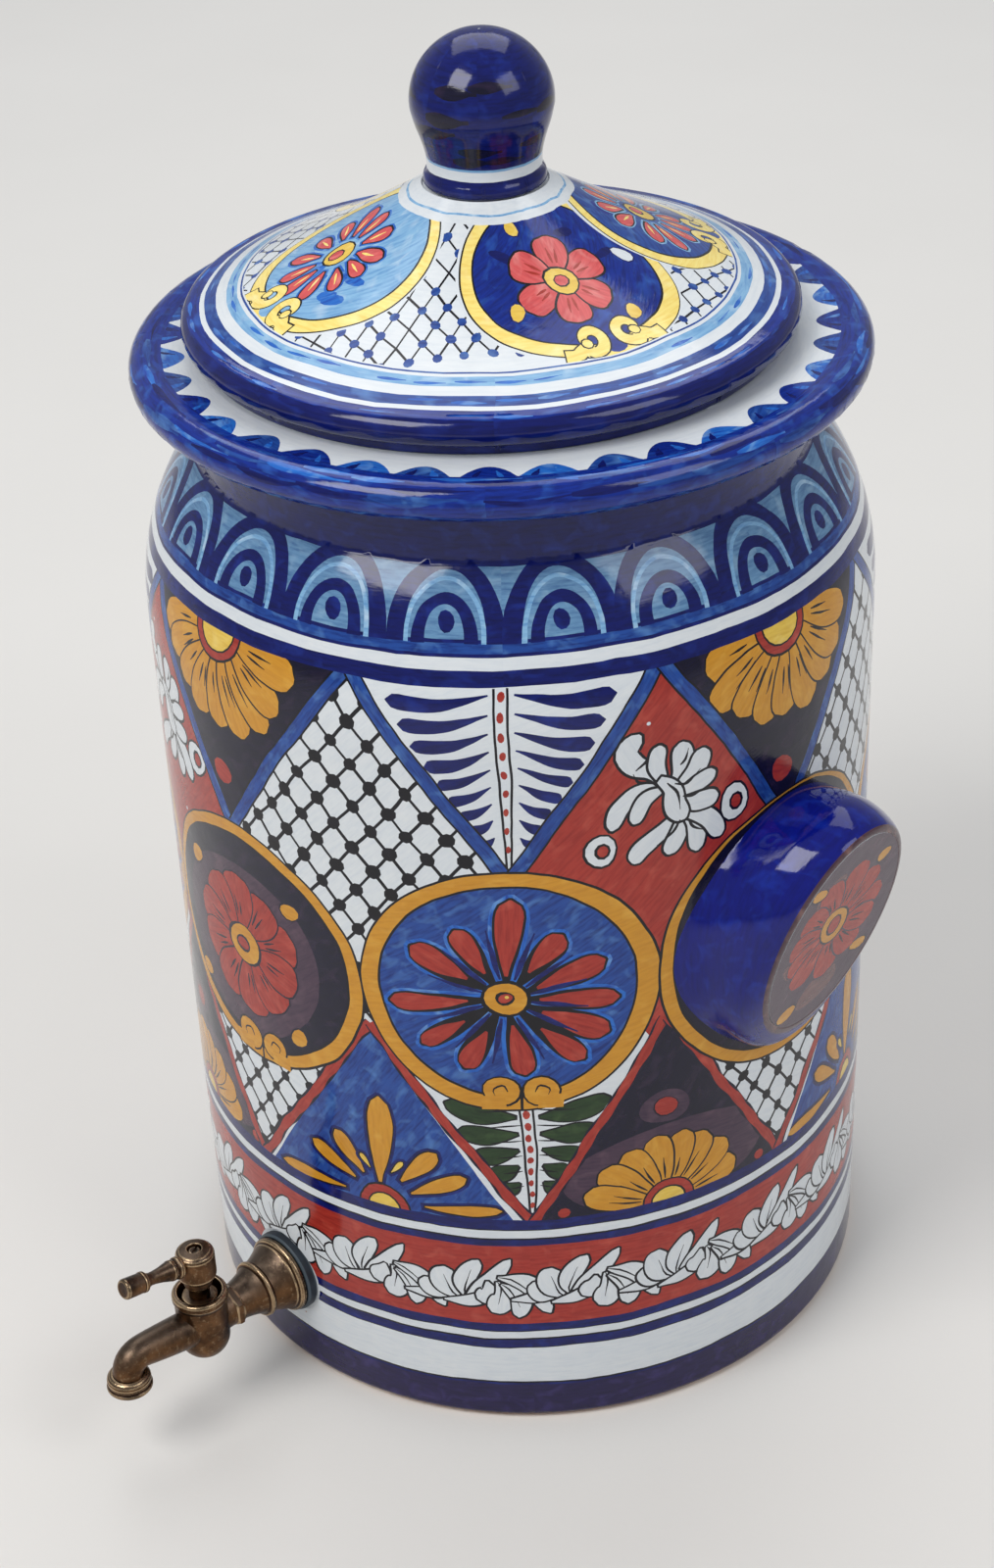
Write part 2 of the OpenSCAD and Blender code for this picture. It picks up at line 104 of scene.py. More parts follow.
class Nodes:
    """Short calls for building one node tree. A value may be a number, a colour or a socket."""

    def __init__(self, tree):
        self.tree = tree

    def new(self, kind, **values):
        node = self.tree.nodes.new(kind)
        for key, value in values.items():
            setattr(node, key, value)
        return node

    def link(self, a, b):
        self.tree.links.new(a, b)

    def feed(self, socket, value):
        if isinstance(value, bpy.types.NodeSocket):
            self.link(value, socket)
        elif value is not None:
            socket.default_value = value

    def noise(self, where, scale, detail=3, rough=0.55, warp=0.0):
        n = self.new("ShaderNodeTexNoise")
        self.feed(n.inputs["Vector"], where)
        n.inputs["Scale"].default_value = scale
        n.inputs["Detail"].default_value = detail
        n.inputs["Roughness"].default_value = rough
        n.inputs["Distortion"].default_value = warp
        return n.outputs["Fac"]

    def ramp(self, fac, lo, hi, out_lo=0.0, out_hi=1.0):
        n = self.new("ShaderNodeMapRange", clamp=True)
        for key, value in zip(("Value", "From Min", "From Max", "To Min", "To Max"),
                              (fac, lo, hi, out_lo, out_hi)):
            self.feed(n.inputs[key], value)
        return n.outputs["Result"]

    def mix(self, fac, a, b):
        n = self.new("ShaderNodeMix", data_type="RGBA")
        for number, value in ((0, fac), (6, a), (7, b)):      # the colour sockets of a Mix node
            self.feed(n.inputs[number], value)
        return n.outputs[2]

    def math(self, op, a, b=None):
        n = self.new("ShaderNodeMath", operation=op)
        self.feed(n.inputs[0], a)
        if b is not None:
            self.feed(n.inputs[1], b)
        return n.outputs[0]

    def stretched(self, where, scale):
        n = self.new("ShaderNodeMapping")
        self.link(where, n.inputs["Vector"])
        n.inputs["Scale"].default_value = scale
        return n.outputs["Vector"]

    def here(self):
        return self.new("ShaderNodeTexCoord").outputs["Object"]

    def wear(self):
        return self.new("ShaderNodeAttribute", attribute_name="wear").outputs["Fac"]


def group(kind, name, ins, outs):
    """A node group with these named inputs and outputs: the group, its helper, the sockets to
    read from, the sockets to fill, and each input's identifier."""
    tree = bpy.data.node_groups.new(name, kind)
    ids = {}
    for label, socket, value in ins:
        entry = tree.interface.new_socket(label, in_out="INPUT", socket_type="NodeSocket" + socket)
        if value is not None:
            entry.default_value = value
        ids[label] = entry.identifier
    for label, socket in outs:
        tree.interface.new_socket(label, in_out="OUTPUT", socket_type="NodeSocket" + socket)
    n = Nodes(tree)
    return tree, n, n.new("NodeGroupInput").outputs, n.new("NodeGroupOutput").inputs, ids


def shaded(name, metallic, bump, reach, diffuse):
    """A new Principled material: its node helper, its shader's inputs and its bump's height."""
    mat = bpy.data.materials.new(name)
    mat.use_nodes = True
    mat.diffuse_color = diffuse
    n = Nodes(mat.node_tree)
    shader = mat.node_tree.nodes["Principled BSDF"]
    shader.inputs["Metallic"].default_value = metallic
    relief = n.new("ShaderNodeBump")
    relief.inputs["Strength"].default_value = bump
    relief.inputs["Distance"].default_value = reach
    n.link(relief.outputs["Normal"], shader.inputs["Normal"])
    return mat, n, shader.inputs, relief.inputs["Height"]


def brushed_group():
    """Glaze colour laid on with a brush: streaks along the stroke, pools and thin places."""
    tree, n, given, result, _ = group("ShaderNodeTree", "brushed glaze", [
        ("Colour", "Color", (0.5, 0.5, 0.5, 1)), ("Deep", "Color", (0.2, 0.2, 0.2, 1)),
        ("Thin", "Color", (0.8, 0.8, 0.8, 1)), ("Streak", "Float", 0.5), ("Wash", "Float", 0.5),
        ("Gloss", "Float", 0.12)], [("Colour", "Color"), ("Roughness", "Float"), ("Height", "Float")])
    brush = n.new("ShaderNodeUVMap", uv_map="brush").outputs[0]
    here = n.here()
    streak = n.noise(n.stretched(brush, (0.10, 0.75, 1)), 1.0, 3, 0.6, 0.25)
    pools = n.noise(n.stretched(brush, (0.12, 0.16, 1)), 1.0, 2, 0.5, 0.6)
    cloud = n.noise(here, 26.0, 3, 0.55)
    speck = n.noise(here, 900.0, 2, 0.5)
    fine = n.noise(here, 320.0, 2, 0.5)
    ripple = n.noise(here, 60.0, 2, 0.5)
    thick = n.math("MULTIPLY", n.ramp(streak, 0.42, 0.70), given["Streak"])
    pale = n.math("MULTIPLY", n.ramp(pools, 0.52, 0.80), given["Wash"])
    shade = n.math("MULTIPLY", n.ramp(cloud, 0.50, 0.75), given["Wash"])
    colour = n.mix(thick, given["Colour"], given["Deep"])
    colour = n.mix(pale, colour, given["Thin"])
    colour = n.mix(n.math("MULTIPLY", shade, 0.45), colour, given["Deep"])
    colour = n.mix(n.ramp(speck, 0.72, 0.80, 0.0, 0.25), colour, given["Deep"])
    n.link(colour, result["Colour"])
    n.link(n.math("ADD", given["Gloss"], n.ramp(fine, 0.35, 0.75, -0.02, 0.07)), result["Roughness"])
    height = n.math("ADD", ripple, n.math("MULTIPLY", fine, 0.10))
    n.link(n.math("ADD", height, n.math("MULTIPLY", streak, 0.12)), result["Height"])
    return tree


BRUSHED = brushed_group()


def glaze(name, colour, deep, thin, streak, wash, gloss):
    """A glaze, with its colours as 0 to 255: as it is, where it is thick and where it is thin."""
    colour, deep, thin = (srgb(*c) for c in (colour, deep, thin))
    mat, n, shader, height = shaded(name, 0, 0.25, 0.0012, colour)
    g = n.new("ShaderNodeGroup", node_tree=BRUSHED)
    for key, value in (("Colour", colour), ("Deep", deep), ("Thin", thin),
                       ("Streak", streak), ("Wash", wash), ("Gloss", gloss)):
        g.inputs[key].default_value = value
    n.link(g.outputs["Colour"], shader["Base Color"])
    n.link(g.outputs["Roughness"], shader["Roughness"])
    n.link(g.outputs["Height"], height)
    shader["Specular IOR Level"].default_value = 0.32
    shader["Coat Weight"].default_value = 0.12
    shader["Coat Roughness"].default_value = 0.04
    return mat


# name, colour, deep, thin, streak, wash and gloss of each glaze
RECIPES = {
    "white": ("white tin glaze", (219, 224, 228), (192, 202, 214), (230, 232, 232), 0.35, 0.35, 0.10),
    "ink": ("black outline", (14, 13, 22), (6, 6, 10), (46, 42, 58), 0.3, 0.3, 0.14),
    "navy": ("navy glaze", (14, 24, 98), (7, 9, 46), (34, 62, 164), 0.6, 0.4, 0.09),
    "dusk": ("dark plum glaze", (20, 18, 44), (8, 7, 20), (64, 46, 74), 0.5, 0.5, 0.09),
    "plum": ("plum wash", (74, 54, 72), (38, 28, 52), (112, 84, 98), 0.5, 0.5, 0.10),
    "blue": ("blue glaze", (34, 74, 152), (14, 34, 104), (96, 146, 206), 0.85, 0.6, 0.10),
    "azure": ("bright blue glaze", (40, 108, 196), (16, 48, 148), (150, 196, 232), 0.85, 0.6, 0.09),
    "sky": ("light blue wash", (134, 180, 216), (70, 126, 186), (206, 224, 236), 0.7, 0.6, 0.10),
    "mist": ("grey blue wash", (104, 146, 184), (50, 88, 140), (164, 196, 218), 0.7, 0.5, 0.10),
    "ochre": ("ochre glaze", (206, 146, 44), (170, 104, 24), (230, 182, 80), 0.35, 0.45, 0.12),
    "cobalt": ("cobalt glaze", (16, 44, 138), (8, 16, 72), (58, 118, 208), 0.7, 0.5, 0.08),
    "cream": ("cream yellow glaze", (246, 226, 134), (226, 184, 70), (252, 245, 200), 0.6, 0.5, 0.11),
    "lemon": ("pale yellow glaze", (230, 196, 86), (204, 156, 50), (246, 228, 150), 0.5, 0.45, 0.11),
    "red": ("brick red glaze", (168, 54, 44), (124, 28, 28), (204, 98, 80), 0.6, 0.45, 0.12),
    "rose": ("rose red glaze", (214, 92, 92), (170, 46, 58), (240, 172, 164), 0.6, 0.5, 0.11),
    "violet": ("violet navy glaze", (34, 25, 74), (16, 12, 42), (72, 60, 130), 0.6, 0.5, 0.10),
    "umber_reflection": ("plum wash as painted reflection", (112, 78, 80), (64, 44, 58), (150, 112, 104), 0.5, 0.5, 0.1),
    "green": ("dark green glaze", (38, 62, 34), (18, 32, 20), (78, 104, 60), 0.6, 0.4, 0.12),
}
GLAZES = {key: glaze(*recipe) for key, recipe in RECIPES.items()}
GLAZE_ORDER = list(GLAZES)


# ------------------------------------------------------------ drawing in the flat

def eased(a, b, c, d, u):
    """The smooth curve at u between b and c, where a comes before them and d after."""
    return 0.5 * ((2 * b) + (c - a) * u + (2 * a - 5 * b + 4 * c - d) * u * u
                  + (3 * b - a - 3 * c + d) * u ** 3)


def unit(v, otherwise, tiny=1e-9):
    """The direction of v, or otherwise if v is too short to have one."""
    return v.normalized() if v.length > tiny else otherwise


def spine(points, n):
    """A smooth line through the points, as n points with their directions."""
    pts = [Vector(p) for p in points]
    if len(pts) == 2:
        line = [pts[0].lerp(pts[1], k / (n - 1)) for k in range(n)]
    else:
        ext = [2 * pts[0] - pts[1]] + pts + [2 * pts[-1] - pts[-2]]
        line = []
        for k in range(n):
            t = k / (n - 1) * (len(pts) - 1)
            j = min(int(t), len(pts) - 2)
            line.append(eased(*ext[j:j + 4], t - j))
    out = []
    for k in range(n):
        ahead = line[min(k + 1, n - 1)] - line[max(k - 1, 0)]
        out.append((line[k], unit(ahead, Vector((1, 0)))))
    return out


def ribbon(points, widths, n):
    """A stroke through the points; widths is a function of 0 to 1 giving the half width."""
    left, right = [], []
    for k, (p, d) in enumerate(spine(points, n)):
        w = max(widths(k / (n - 1)), 0.02)
        side = Vector((-d.y, d.x)) * w
        left.append((p.x + side.x, p.y + side.y))
        right.append((p.x - side.x, p.y - side.y))
    return right + left[::-1]


def line_of(points, width, n=None):
    """A stroke of one width."""
    return ribbon(points, lambda t: width / 2, n or max(2, 5 * (len(points) - 1) + 1))


def tapered(points, width, n=9):
    """A stroke that swells from its start and ends thin."""
    def half(t):
        return width / 2 * (0.25 + 0.75 * math.sin(math.pi * min(t * 1.1 + 0.05, 1)))
    return ribbon(points, half, n)


def drop(points, width, widest=0.7, n=14):
    """A tear drop, thin where the points start and round where they end."""
    def half(t):
        if t < widest:
            return width / 2 * (0.12 + 0.88 * math.sin(math.pi / 2 * t / widest) ** 1.1)
        u = (t - widest) / (1 - widest)
        return width / 2 * math.sqrt(max(1 - u * u, 0.004))
    return ribbon(points, half, n)


def petal(points, width, n=14, widest=0.62):
    """A broad petal with a blunt end."""
    def half(t):
        if t < widest:
            return width / 2 * (0.34 + 0.66 * math.sin(math.pi / 2 * t / widest))
        u = (t - widest) / (1 - widest)
        return width / 2 * max(1 - u ** 3.2, 0.02) ** 0.5
    return ribbon(points, half, n)


def oval(cx, cy, rx, ry=None, turn=0.0, n=0, uneven=0.0):
    """An oval as n points, or one about every 2.6 mm; uneven makes it a little lumpy."""
    ry = rx if ry is None else ry
    n = n or max(10, int(TAU * max(rx, ry) / 2.6))
    c, s = math.cos(turn), math.sin(turn)
    phase = rng.uniform(0, TAU)
    out = []
    for k in range(n):
        a = TAU * k / n
        f = 1 + uneven * (math.sin(2 * a + phase) + 0.6 * math.sin(3 * a + 2 * phase))
        x, y = rx * f * math.cos(a), ry * f * math.sin(a)
        out.append((cx + x * c - y * s, cy + x * s + y * c))
    return out


def swollen(poly, w):
    """The outline moved outward by w."""
    n = len(poly)
    out = []
    for k in range(n):
        a, b, c = Vector(poly[k - 1]), Vector(poly[k]), Vector(poly[(k + 1) % n])
        d1 = unit(b - a, Vector((1, 0)))
        d2 = unit(c - b, d1)
        n1, n2 = Vector((d1.y, -d1.x)), Vector((d2.y, -d2.x))
        m = unit(n1 + n2, n1, 1e-6)
        step = w / max(m.dot(n1), 0.6)
        out.append((b.x + m.x * step, b.y + m.y * step))
    return out


def turned_left(poly):
    """The outline, running counterclockwise."""
    area = sum(poly[k - 1][0] * poly[k][1] - poly[k][0] * poly[k - 1][1] for k in range(len(poly)))
    return poly if area > 0 else poly[::-1]


def finer(poly, step):
    """The outline with no side longer than the step."""
    out = []
    for k in range(len(poly)):
        a, b = poly[k - 1], poly[k]
        d = math.hypot(b[0] - a[0], b[1] - a[1])
        m = max(1, math.ceil(d / step))
        out += [(a[0] + (b[0] - a[0]) * j / m, a[1] + (b[1] - a[1]) * j / m) for j in range(m)]
    return out


# brush is where a stroke starts and the way it runs, clip the number of the shape it stays in
Shape = namedtuple("Shape", "outline glaze clip brush seed box")
BARE = Shape([], 0, None, (0, 0, 0), 0, None)


class Painting:
    """Painted shapes in order, the later over the earlier, on a surface unrolled round a
    radius. A plan painting is drawn as seen from above and unrolled as it is stored."""

    def __init__(self, wobble, radius, plan=False):
        self.shapes = []
        self.wobble = wobble
        self.radius = radius
        self.span = TAU * radius
        self.plan = plan
        self.holes = set()

    def sway(self, x, y):
        """The unsteady hand: a small shift that changes smoothly over the surface."""
        a = x / self.radius
        p = Vector((self.radius * math.cos(a), self.radius * math.sin(a), y))
        big, small = p / 21.0, p / 6.0
        w = self.wobble
        return (x + w * (noise.noise(big) * 1.6 + noise.noise(small) * 0.55),
                y + w * (noise.noise(big + Vector((40, 7, 3))) * 1.6
                         + noise.noise(small + Vector((11, 50, 9))) * 0.55))

    def unrolled(self, x, y, near):
        """A point of the plan as the way round and the way in, on the same turn as near."""
        a = math.atan2(y, x)
        a += TAU * round((near - a) / TAU)
        return a * self.radius, -math.hypot(x, y)

    def fill(self, poly, glaze_name, clip=None, brush=None, step=3.0, flat=False):
        """Paints an outline and gives its number. A flat one is already unrolled."""
        poly = finer(turned_left(poly), step)
        if brush is None:
            mid = [sum(q[i] for q in poly) / len(poly) for i in (0, 1)]
            brush = (*mid, rng.uniform(-0.3, 0.3))
        if self.plan and not flat:
            near = math.atan2(brush[1], brush[0])
            poly = [self.unrolled(x, y, near) for x, y in poly]
            brush = (*self.unrolled(*brush[:2], near), brush[2] - near - math.pi / 2)
        poly = [self.sway(x, y) for x, y in poly]
        xs, ys = [q[0] for q in poly], [q[1] for q in poly]
        self.shapes.append(Shape(poly, GLAZE_ORDER.index(glaze_name), clip, brush,
                                 rng.uniform(0, 900), (min(xs), max(xs), min(ys), max(ys))))
        return len(self.shapes) - 1

    def band(self, y0, y1, glaze_name, parts=8):
        """A band all round, brushed on in a few parts."""
        w = self.span / parts
        for k in range(parts):
            x0 = -self.span / 2 + k * w
            self.fill([(x0, y0), (x0 + w + 1, y0), (x0 + w + 1, y1), (x0, y1)], glaze_name,
                      brush=(x0, y0, 0.0), step=5, flat=True)

    def bands(self, *rows):
        for row in rows:
            self.band(*row)

    def inked(self, poly, glaze_name, w=0.8, ink="ink", clip=None, brush=None):
        """A filled shape with a drawn outline round it, which the colour misses by a little."""
        slip = 0.15
        poly = turned_left(poly)
        self.fill(swollen(poly, w), ink, clip)
        dx, dy = rng.uniform(-slip, slip), rng.uniform(-slip, slip)
        return self.fill([(x + dx, y + dy) for x, y in poly], glaze_name, clip, brush)

    def halo(self, poly, w, glaze_name, clip=None, brush=None):
        """An outline moved outward and filled, to lie under a stroke."""
        return self.fill(swollen(turned_left(poly), w), glaze_name, clip, brush)


def along(a, b):
    """The brush of a stroke from a to b."""
    return (a[0], a[1], math.atan2(b[1] - a[1], b[0] - a[0]))


def polar(cx, cy, r, a):
    """The point at distance r from (cx, cy), at angle a."""
    return (cx + r * math.cos(a), cy + r * math.sin(a))


def flower_strokes(p, cx, cy, a, r0, r1, gap, ink="ink", clip=None, w=1.0):
    """Two short dark strokes inside a petal."""
    for s in (-1, 1):
        b = a + s * gap / max(r1, 1)
        q0, q1 = polar(cx, cy, r0, b), polar(cx, cy, r1 * rng.uniform(0.9, 1.08), b + s * 0.01)
        p.fill(tapered([q0, q1], w, 5), ink, clip)


def joined(nodes):
    """Each node of a lattice, with those of the next row that its lines run to."""
    for (i, j), node in nodes.items():
        keys = ((i + (j % 2), j + 1), (i - 1 + (j % 2), j + 1))
        yield node, [nodes[key] for key in keys if key in nodes]


def lattice(p, clip, box, cell, dot, line, slant):
    """Crossed lines with a round knot at every crossing, kept inside the clip shape."""
    x0, x1, y0, y1 = box
    cell_w, cell_h = cell
    nodes = {}
    for j in range(int((y1 - y0) / cell_h) + 2):
        for i in range(int((x1 - x0) / cell_w) + 2):
            x = x0 + (i + 0.5 * (j % 2)) * cell_w + slant * j * cell_h + rng.uniform(-0.5, 0.5)
            nodes[i, j] = (x, y0 + j * cell_h + rng.uniform(-0.45, 0.45))
    for a, others in joined(nodes):
        for b in others:
            p.fill(line_of([a, b], line * rng.uniform(0.85, 1.2), 2), "ink", clip, step=9)
    for a in nodes.values():
        p.fill(oval(*a, dot * rng.uniform(0.88, 1.12), dot * rng.uniform(0.85, 1.1),
                    rng.uniform(0, 3), 9), "ink", clip)


def curl_pair(p, cx, cy, r, spread):
    """The two little ochre scrolls where a ring's ends meet."""
    for s in (-1, 1):
        curl_r = r * rng.uniform(0.92, 1.08)

        def at(out, up):
            return (cx + s * (spread + curl_r * out), cy + curl_r * up)

        middle = at(0, 0)
        brush = (*middle, 0.0)
        p.inked(oval(*middle, curl_r, curl_r * 0.92, 0, 16, 0.03), "ochre", 0.8, brush=brush)
        p.fill(tapered([at(-0.35, -0.05), at(-0.1, 0.38), at(0.45, 0.12), at(0.3, -0.42)], 0.9, 9), "ink")
        p.fill(line_of([at(-0.2, -0.7), at(1.2, -0.75)], curl_r * 0.9, 4), "ochre", brush=brush)


# ------------------------------------------------------------ the pot's wall

def arc(r, z, radius, degrees):
    """Points of a half profile on a circle round (r, z)."""
    return [(r + radius * math.cos(a), z + radius * math.sin(a)) for a in map(math.radians, degrees)]


def way_along(points, level_below=0.0):
    """A half profile of (radius, height) as (way along, radius, height). The way along is the
    height itself up to level_below."""
    table, way = [], 0.0
    for k, (r, z) in enumerate(points):
        if z <= level_below:
            way = z
        elif k:
            way += math.hypot(r - points[k - 1][0], z - points[k - 1][1])
        table.append((way, r, z))
    return table


def from_table(table, keys, y):
    """Radius, height and direction of the profile at the way along y."""
    k = min(max(bisect_right(keys, y) - 1, 0), len(table) - 2)
    a, b = table[k], table[k + 1]
    t = (y - a[0]) / (b[0] - a[0])
    lo, hi = table[max(k - 1, 0)], table[min(k + 2, len(table) - 1)]
    # the slope changes smoothly from one stretch of the profile to the next
    d0 = Vector((b[1] - lo[1], b[2] - lo[2])).normalized()
    d1 = Vector((hi[1] - a[1], hi[2] - a[2])).normalized()
    d = d0.lerp(d1, t)
    return a[1] + (b[1] - a[1]) * t, a[2] + (b[2] - a[2]) * t, d.normalized()


def turned_surface(table, unrolled_at, turn=0.0, middle=Vector((0, 0, 0)), inset=0.0, seat=None):
    """A function that gives where a point of a painting lies on a turned shape, and the way the
    surface faces there. A seat is a function that may give both for a flat place on it."""
    keys = [row[0] for row in table]

    def place(x, y):
        r, z, d = from_table(table, keys, y)
        a = x / unrolled_at + turn
        c, s = math.cos(a), math.sin(a)
        flat = seat(r * c, s, z) if seat else None
        if flat:
            return flat
        r -= inset
        return (Vector((r * c, r * s, z)) + middle) * MM, Vector((d.y * c, d.y * s, -d.x))
    return place


WALL_R = 136.0                   # radius the wall is unrolled at
WALL_TURN = math.radians(-43.6)  # azimuth of the front blue medallion
ROUND = TAU * WALL_R
SHOULDER_Z = 308                 # where the straight wall ends


def pot_outside():
    """The pot's outside from the foot to the brim, as (way along, radius, height)."""
    pts = arc(130.5, 3.5, 3.5, range(-75, 1, 15))
    pts += [(134 + (z - 3.5) / 91.5, z) for z in range(10, 96, 5)]
    pts += [(135 + 0.5 * (z - 95) / 105, z) for z in range(100, 201, 10)]
    pts += [(135.5 + 0.5 * (z - 200) / 90, z) for z in range(210, 301, 10)]
    for k in range(61):
        u = math.pi / 2 * k / 60
        pts.append((112.5 + 23.5 * max(math.cos(u), 0) ** 1.8, SHOULDER_Z + 60 * math.sin(u)))
    pts += [(112.5, 371), (112.5, 374), (112.9, 378), (113.5, 383), (114.3, 387), (115.6, 389.4),
            (117.6, 390.7)]
    return way_along(pts, SHOULDER_Z)


OUTSIDE = pot_outside()
WALL_TOP = OUTSIDE[-1][0]


def y_of(z):
    """The way along the shoulder at height z."""
    for a, b in zip(OUTSIDE, OUTSIDE[1:]):
        if a[2] <= z <= b[2]:
            return a[0] + (b[0] - a[0]) * (z - a[2]) / max(b[2] - a[2], 1e-9)
    return z


TAP_X = WALL_R * (math.radians(-90) - WALL_TURN)
TAP_Z, SEAT_Y, SEAT_R, HOLE_R = 43.0, 132.83, 18.0, 10.45


def tap_seat(x, south, z):
    """The flat place ground on the wall, round the tap's hole."""
    if south < 0 and math.hypot(x, z - TAP_Z) < SEAT_R:
        return Vector((x, -SEAT_Y, z)) * MM, Vector((0, -1, 0))


on_wall = turned_surface(OUTSIDE, WALL_R, WALL_TURN, inset=0.14, seat=tap_seat)

# Centres of the eight medallions and of the gaps between them, unrolled, in mm. Medallion k
# lies between the gaps k and k + 1. The last of each list is the first, one turn on.
MEDALLIONS = 8
MIDS = [-113.0, -2.8, 110.5, 217.4, 324.2, 431.1, 537.9, 639.7, -113.0 + ROUND]
GAPS = [690.6 - ROUND, -56.0, 55.0, 162.5, 270.8, 377.6, 484.5, 588.8, 690.6]
HANDLES_ON = (2, 6)              # the medallions that the side handles fill


def feathers(p, mx, y0, y1, side, count, reach, glaze_name, clip, width, droop):
    """Drop-shaped leaves down one side of a stem, shorter towards y1."""
    leafy = glaze_name == "green"
    for k in range(count):
        t = k / count
        y = y0 + (y1 - y0) * t
        length = reach * (1 - t) ** 1.1 + 2.6
        a = math.radians(droop[0] + (droop[1] - droop[0]) * t)
        root = (mx + side * 4.6, y)
        tip = (mx + side * (4.6 + length * math.cos(a)), y - length * math.sin(a))
        bend = (0.5 * (root[0] + tip[0]), 0.5 * (root[1] + tip[1]) - 0.4 - 0.05 * length)
        w = width * (1 - 0.35 * t) * rng.uniform(0.92, 1.08)
        leaf = drop([root, bend, tip], w, 0.62 if leafy else 0.86, 16)
        if leafy:
            p.inked(leaf, glaze_name, 0.7, clip=clip, brush=along(root, tip))
        else:
            p.fill(leaf, glaze_name, clip, along(root, tip))


def beaded_stem(p, mx, y0, y1, clip, beads=9):
    """Two dark lines that close towards y1, with red beads between them."""
    lean = rng.uniform(-0.6, 0.6)
    for s in (-1, 1):
        p.fill(ribbon([(mx + s * 2.5 + lean, y0), (mx + s * 2.1, (y0 + y1) / 2), (mx + s * 0.8, y1)],
                      lambda t: 0.45, 14), "ink", clip)
    y = y0 - 3 if y0 > y1 else y0 + 3
    step = (y1 - y0) / (beads + 0.5)
    for k in range(beads):
        half = 1.45 * (1 - 0.45 * k / beads)
        x = mx + lean * (1 - k / beads) + rng.uniform(-0.2, 0.2)
        p.fill(oval(x, y + step * k, half, 2.0 * (1 - 0.3 * k / beads), 0, 9, 0.05), "red", clip)


def half_daisy(p, cx, cy, r_in, r_out, count, start, sweep, width, clip, eye):
    """Ochre petals fanned round a half disc that stands on a line."""
    for k in range(count):
        a = start + sweep * (k + 0.5) / count + rng.uniform(-0.03, 0.03)
        reach = r_out * rng.uniform(0.93, 1.06)
        q0, q1 = polar(cx, cy, r_in * 0.9, a), polar(cx, cy, reach, a + rng.uniform(-0.03, 0.03))
        p.inked(petal([q0, q1], width * rng.uniform(0.93, 1.08)), "ochre", 0.7, clip=clip,
                brush=along(q0, q1))
        flower_strokes(p, cx, cy, a, r_in * 1.25, r_in + (reach - r_in) * 0.55, 1.5, clip=clip)
    p.inked(oval(cx, cy, eye + 3.6, n=22), "red", 0.8, clip=clip)
    p.inked(oval(cx, cy, eye, n=18), "lemon", 0.8, clip=clip)


def medallion_drops(p, cx, cy, steady):
    """Twelve red drops round a small eye, on blue."""
    # direction in degrees, start, end and width of each
    petals = [(87, 10, 43, 10.2), (53, 14, 34, 8.6), (21, 12, 38.5, 9.6), (-3, 12, 41, 7.6),
              (-25, 14, 41, 9.4), (-47, 18, 40, 8.2), (-80, 12, 35, 8.6), (-116.5, 17, 36, 8.2),
              (-145, 19, 39, 6.8), (-173, 14, 43.5, 7.6), (147, 16, 39.5, 9.8), (122, 13, 34, 8.2)]
    spin = 0 if steady else rng.uniform(-14, 14)
    rays = []
    for deg, r0, r1, w in petals:
        a = math.radians(deg + spin)
        rays.append((a, polar(cx, cy, r0, a), polar(cx, cy, r1, a + rng.uniform(-0.03, 0.03)), w))
    for a, q0, q1, w in rays:
        p.halo(drop([polar(cx, cy, 7, a), q1], w, 0.74), 2.3, "azure", brush=along(q0, q1))
    for a, q0, q1, w in rays:
        b = a + math.radians(15)
        p.fill(tapered([polar(cx, cy, 9, b), polar(cx, cy, 30, b)], 2.2, 6), "navy")
        p.halo(drop([polar(cx, cy, 9, a), q1], w, 0.74), 0.95, "ink")
        p.fill(drop([q0, q1], w, 0.74), "red", brush=along(q0, q1))
    for dx, dy, rx, ry, turn, n, uneven, name in (
            (0, 0, 9.0, 8.6, 0, 20, 0.03, "ink"), (0, 0, 7.6, 7.2, 0, 18, 0.03, "ochre"),
            (-0.4, 0.2, 3.6, 3.1, 0.4, 12, 0.06, "ink"), (-0.2, 0.3, 2.6, 2.1, 0.4, 10, 0.06, "red"),
            (0.4, 0.9, 0.8, 0.7, 0, 8, 0.0, "lemon")):
        p.fill(oval(cx + dx, cy + dy, rx, ry, turn, n, uneven), name)


def medallion_daisy(p, cx, cy, rx, ry, count=10):
    """A red daisy with an ochre eye on dark plum, with ochre dots."""
    p.fill(oval(cx - 2, cy - 2, rx - 15, ry - 13, 0, 0, 0.03), "plum", brush=(cx, cy, 0.7))
    for dx, dy, r in ((-31, 25, 4.6), (27, 26, 4.4), (26, -31, 4.4), (-33, -28, 4.2)):
        p.inked(oval(cx + dx, cy + dy, r, r * 0.8, rng.uniform(-0.6, 0.6), 11, 0.08), "ochre", 0.7,
                "dusk")
    spin = rng.uniform(0, 0.6)
    for j in range(count):
        a = spin + TAU * j / count
        q0, q1 = polar(cx, cy, 8, a), polar(cx, cy, 29.5 * rng.uniform(0.95, 1.05), a)
        p.inked(petal([q0, q1], 17.5), "red", 0.7, "dusk", brush=along(q0, q1))
    for j in range(count):
        flower_strokes(p, cx, cy, spin + TAU * j / count, 13, 21, 1.4, "dusk")
    for dx, dy, rx, ry, n, uneven, name in (
            (0, 0, 9.8, 9.2, 18, 0.03, "dusk"), (0, 0, 8.8, 8.2, 18, 0.03, "ochre"),
            (-0.8, -0.3, 4.2, 3.6, 12, 0.05, "dusk"), (-0.8, -0.3, 3.1, 2.6, 10, 0.05, "red")):
        p.fill(oval(cx + dx, cy + dy, rx, ry, 0, n, uneven), name)


def is_blue(k):
    """The medallions are in turn dark plum and blue."""
    return k % 2 == 1


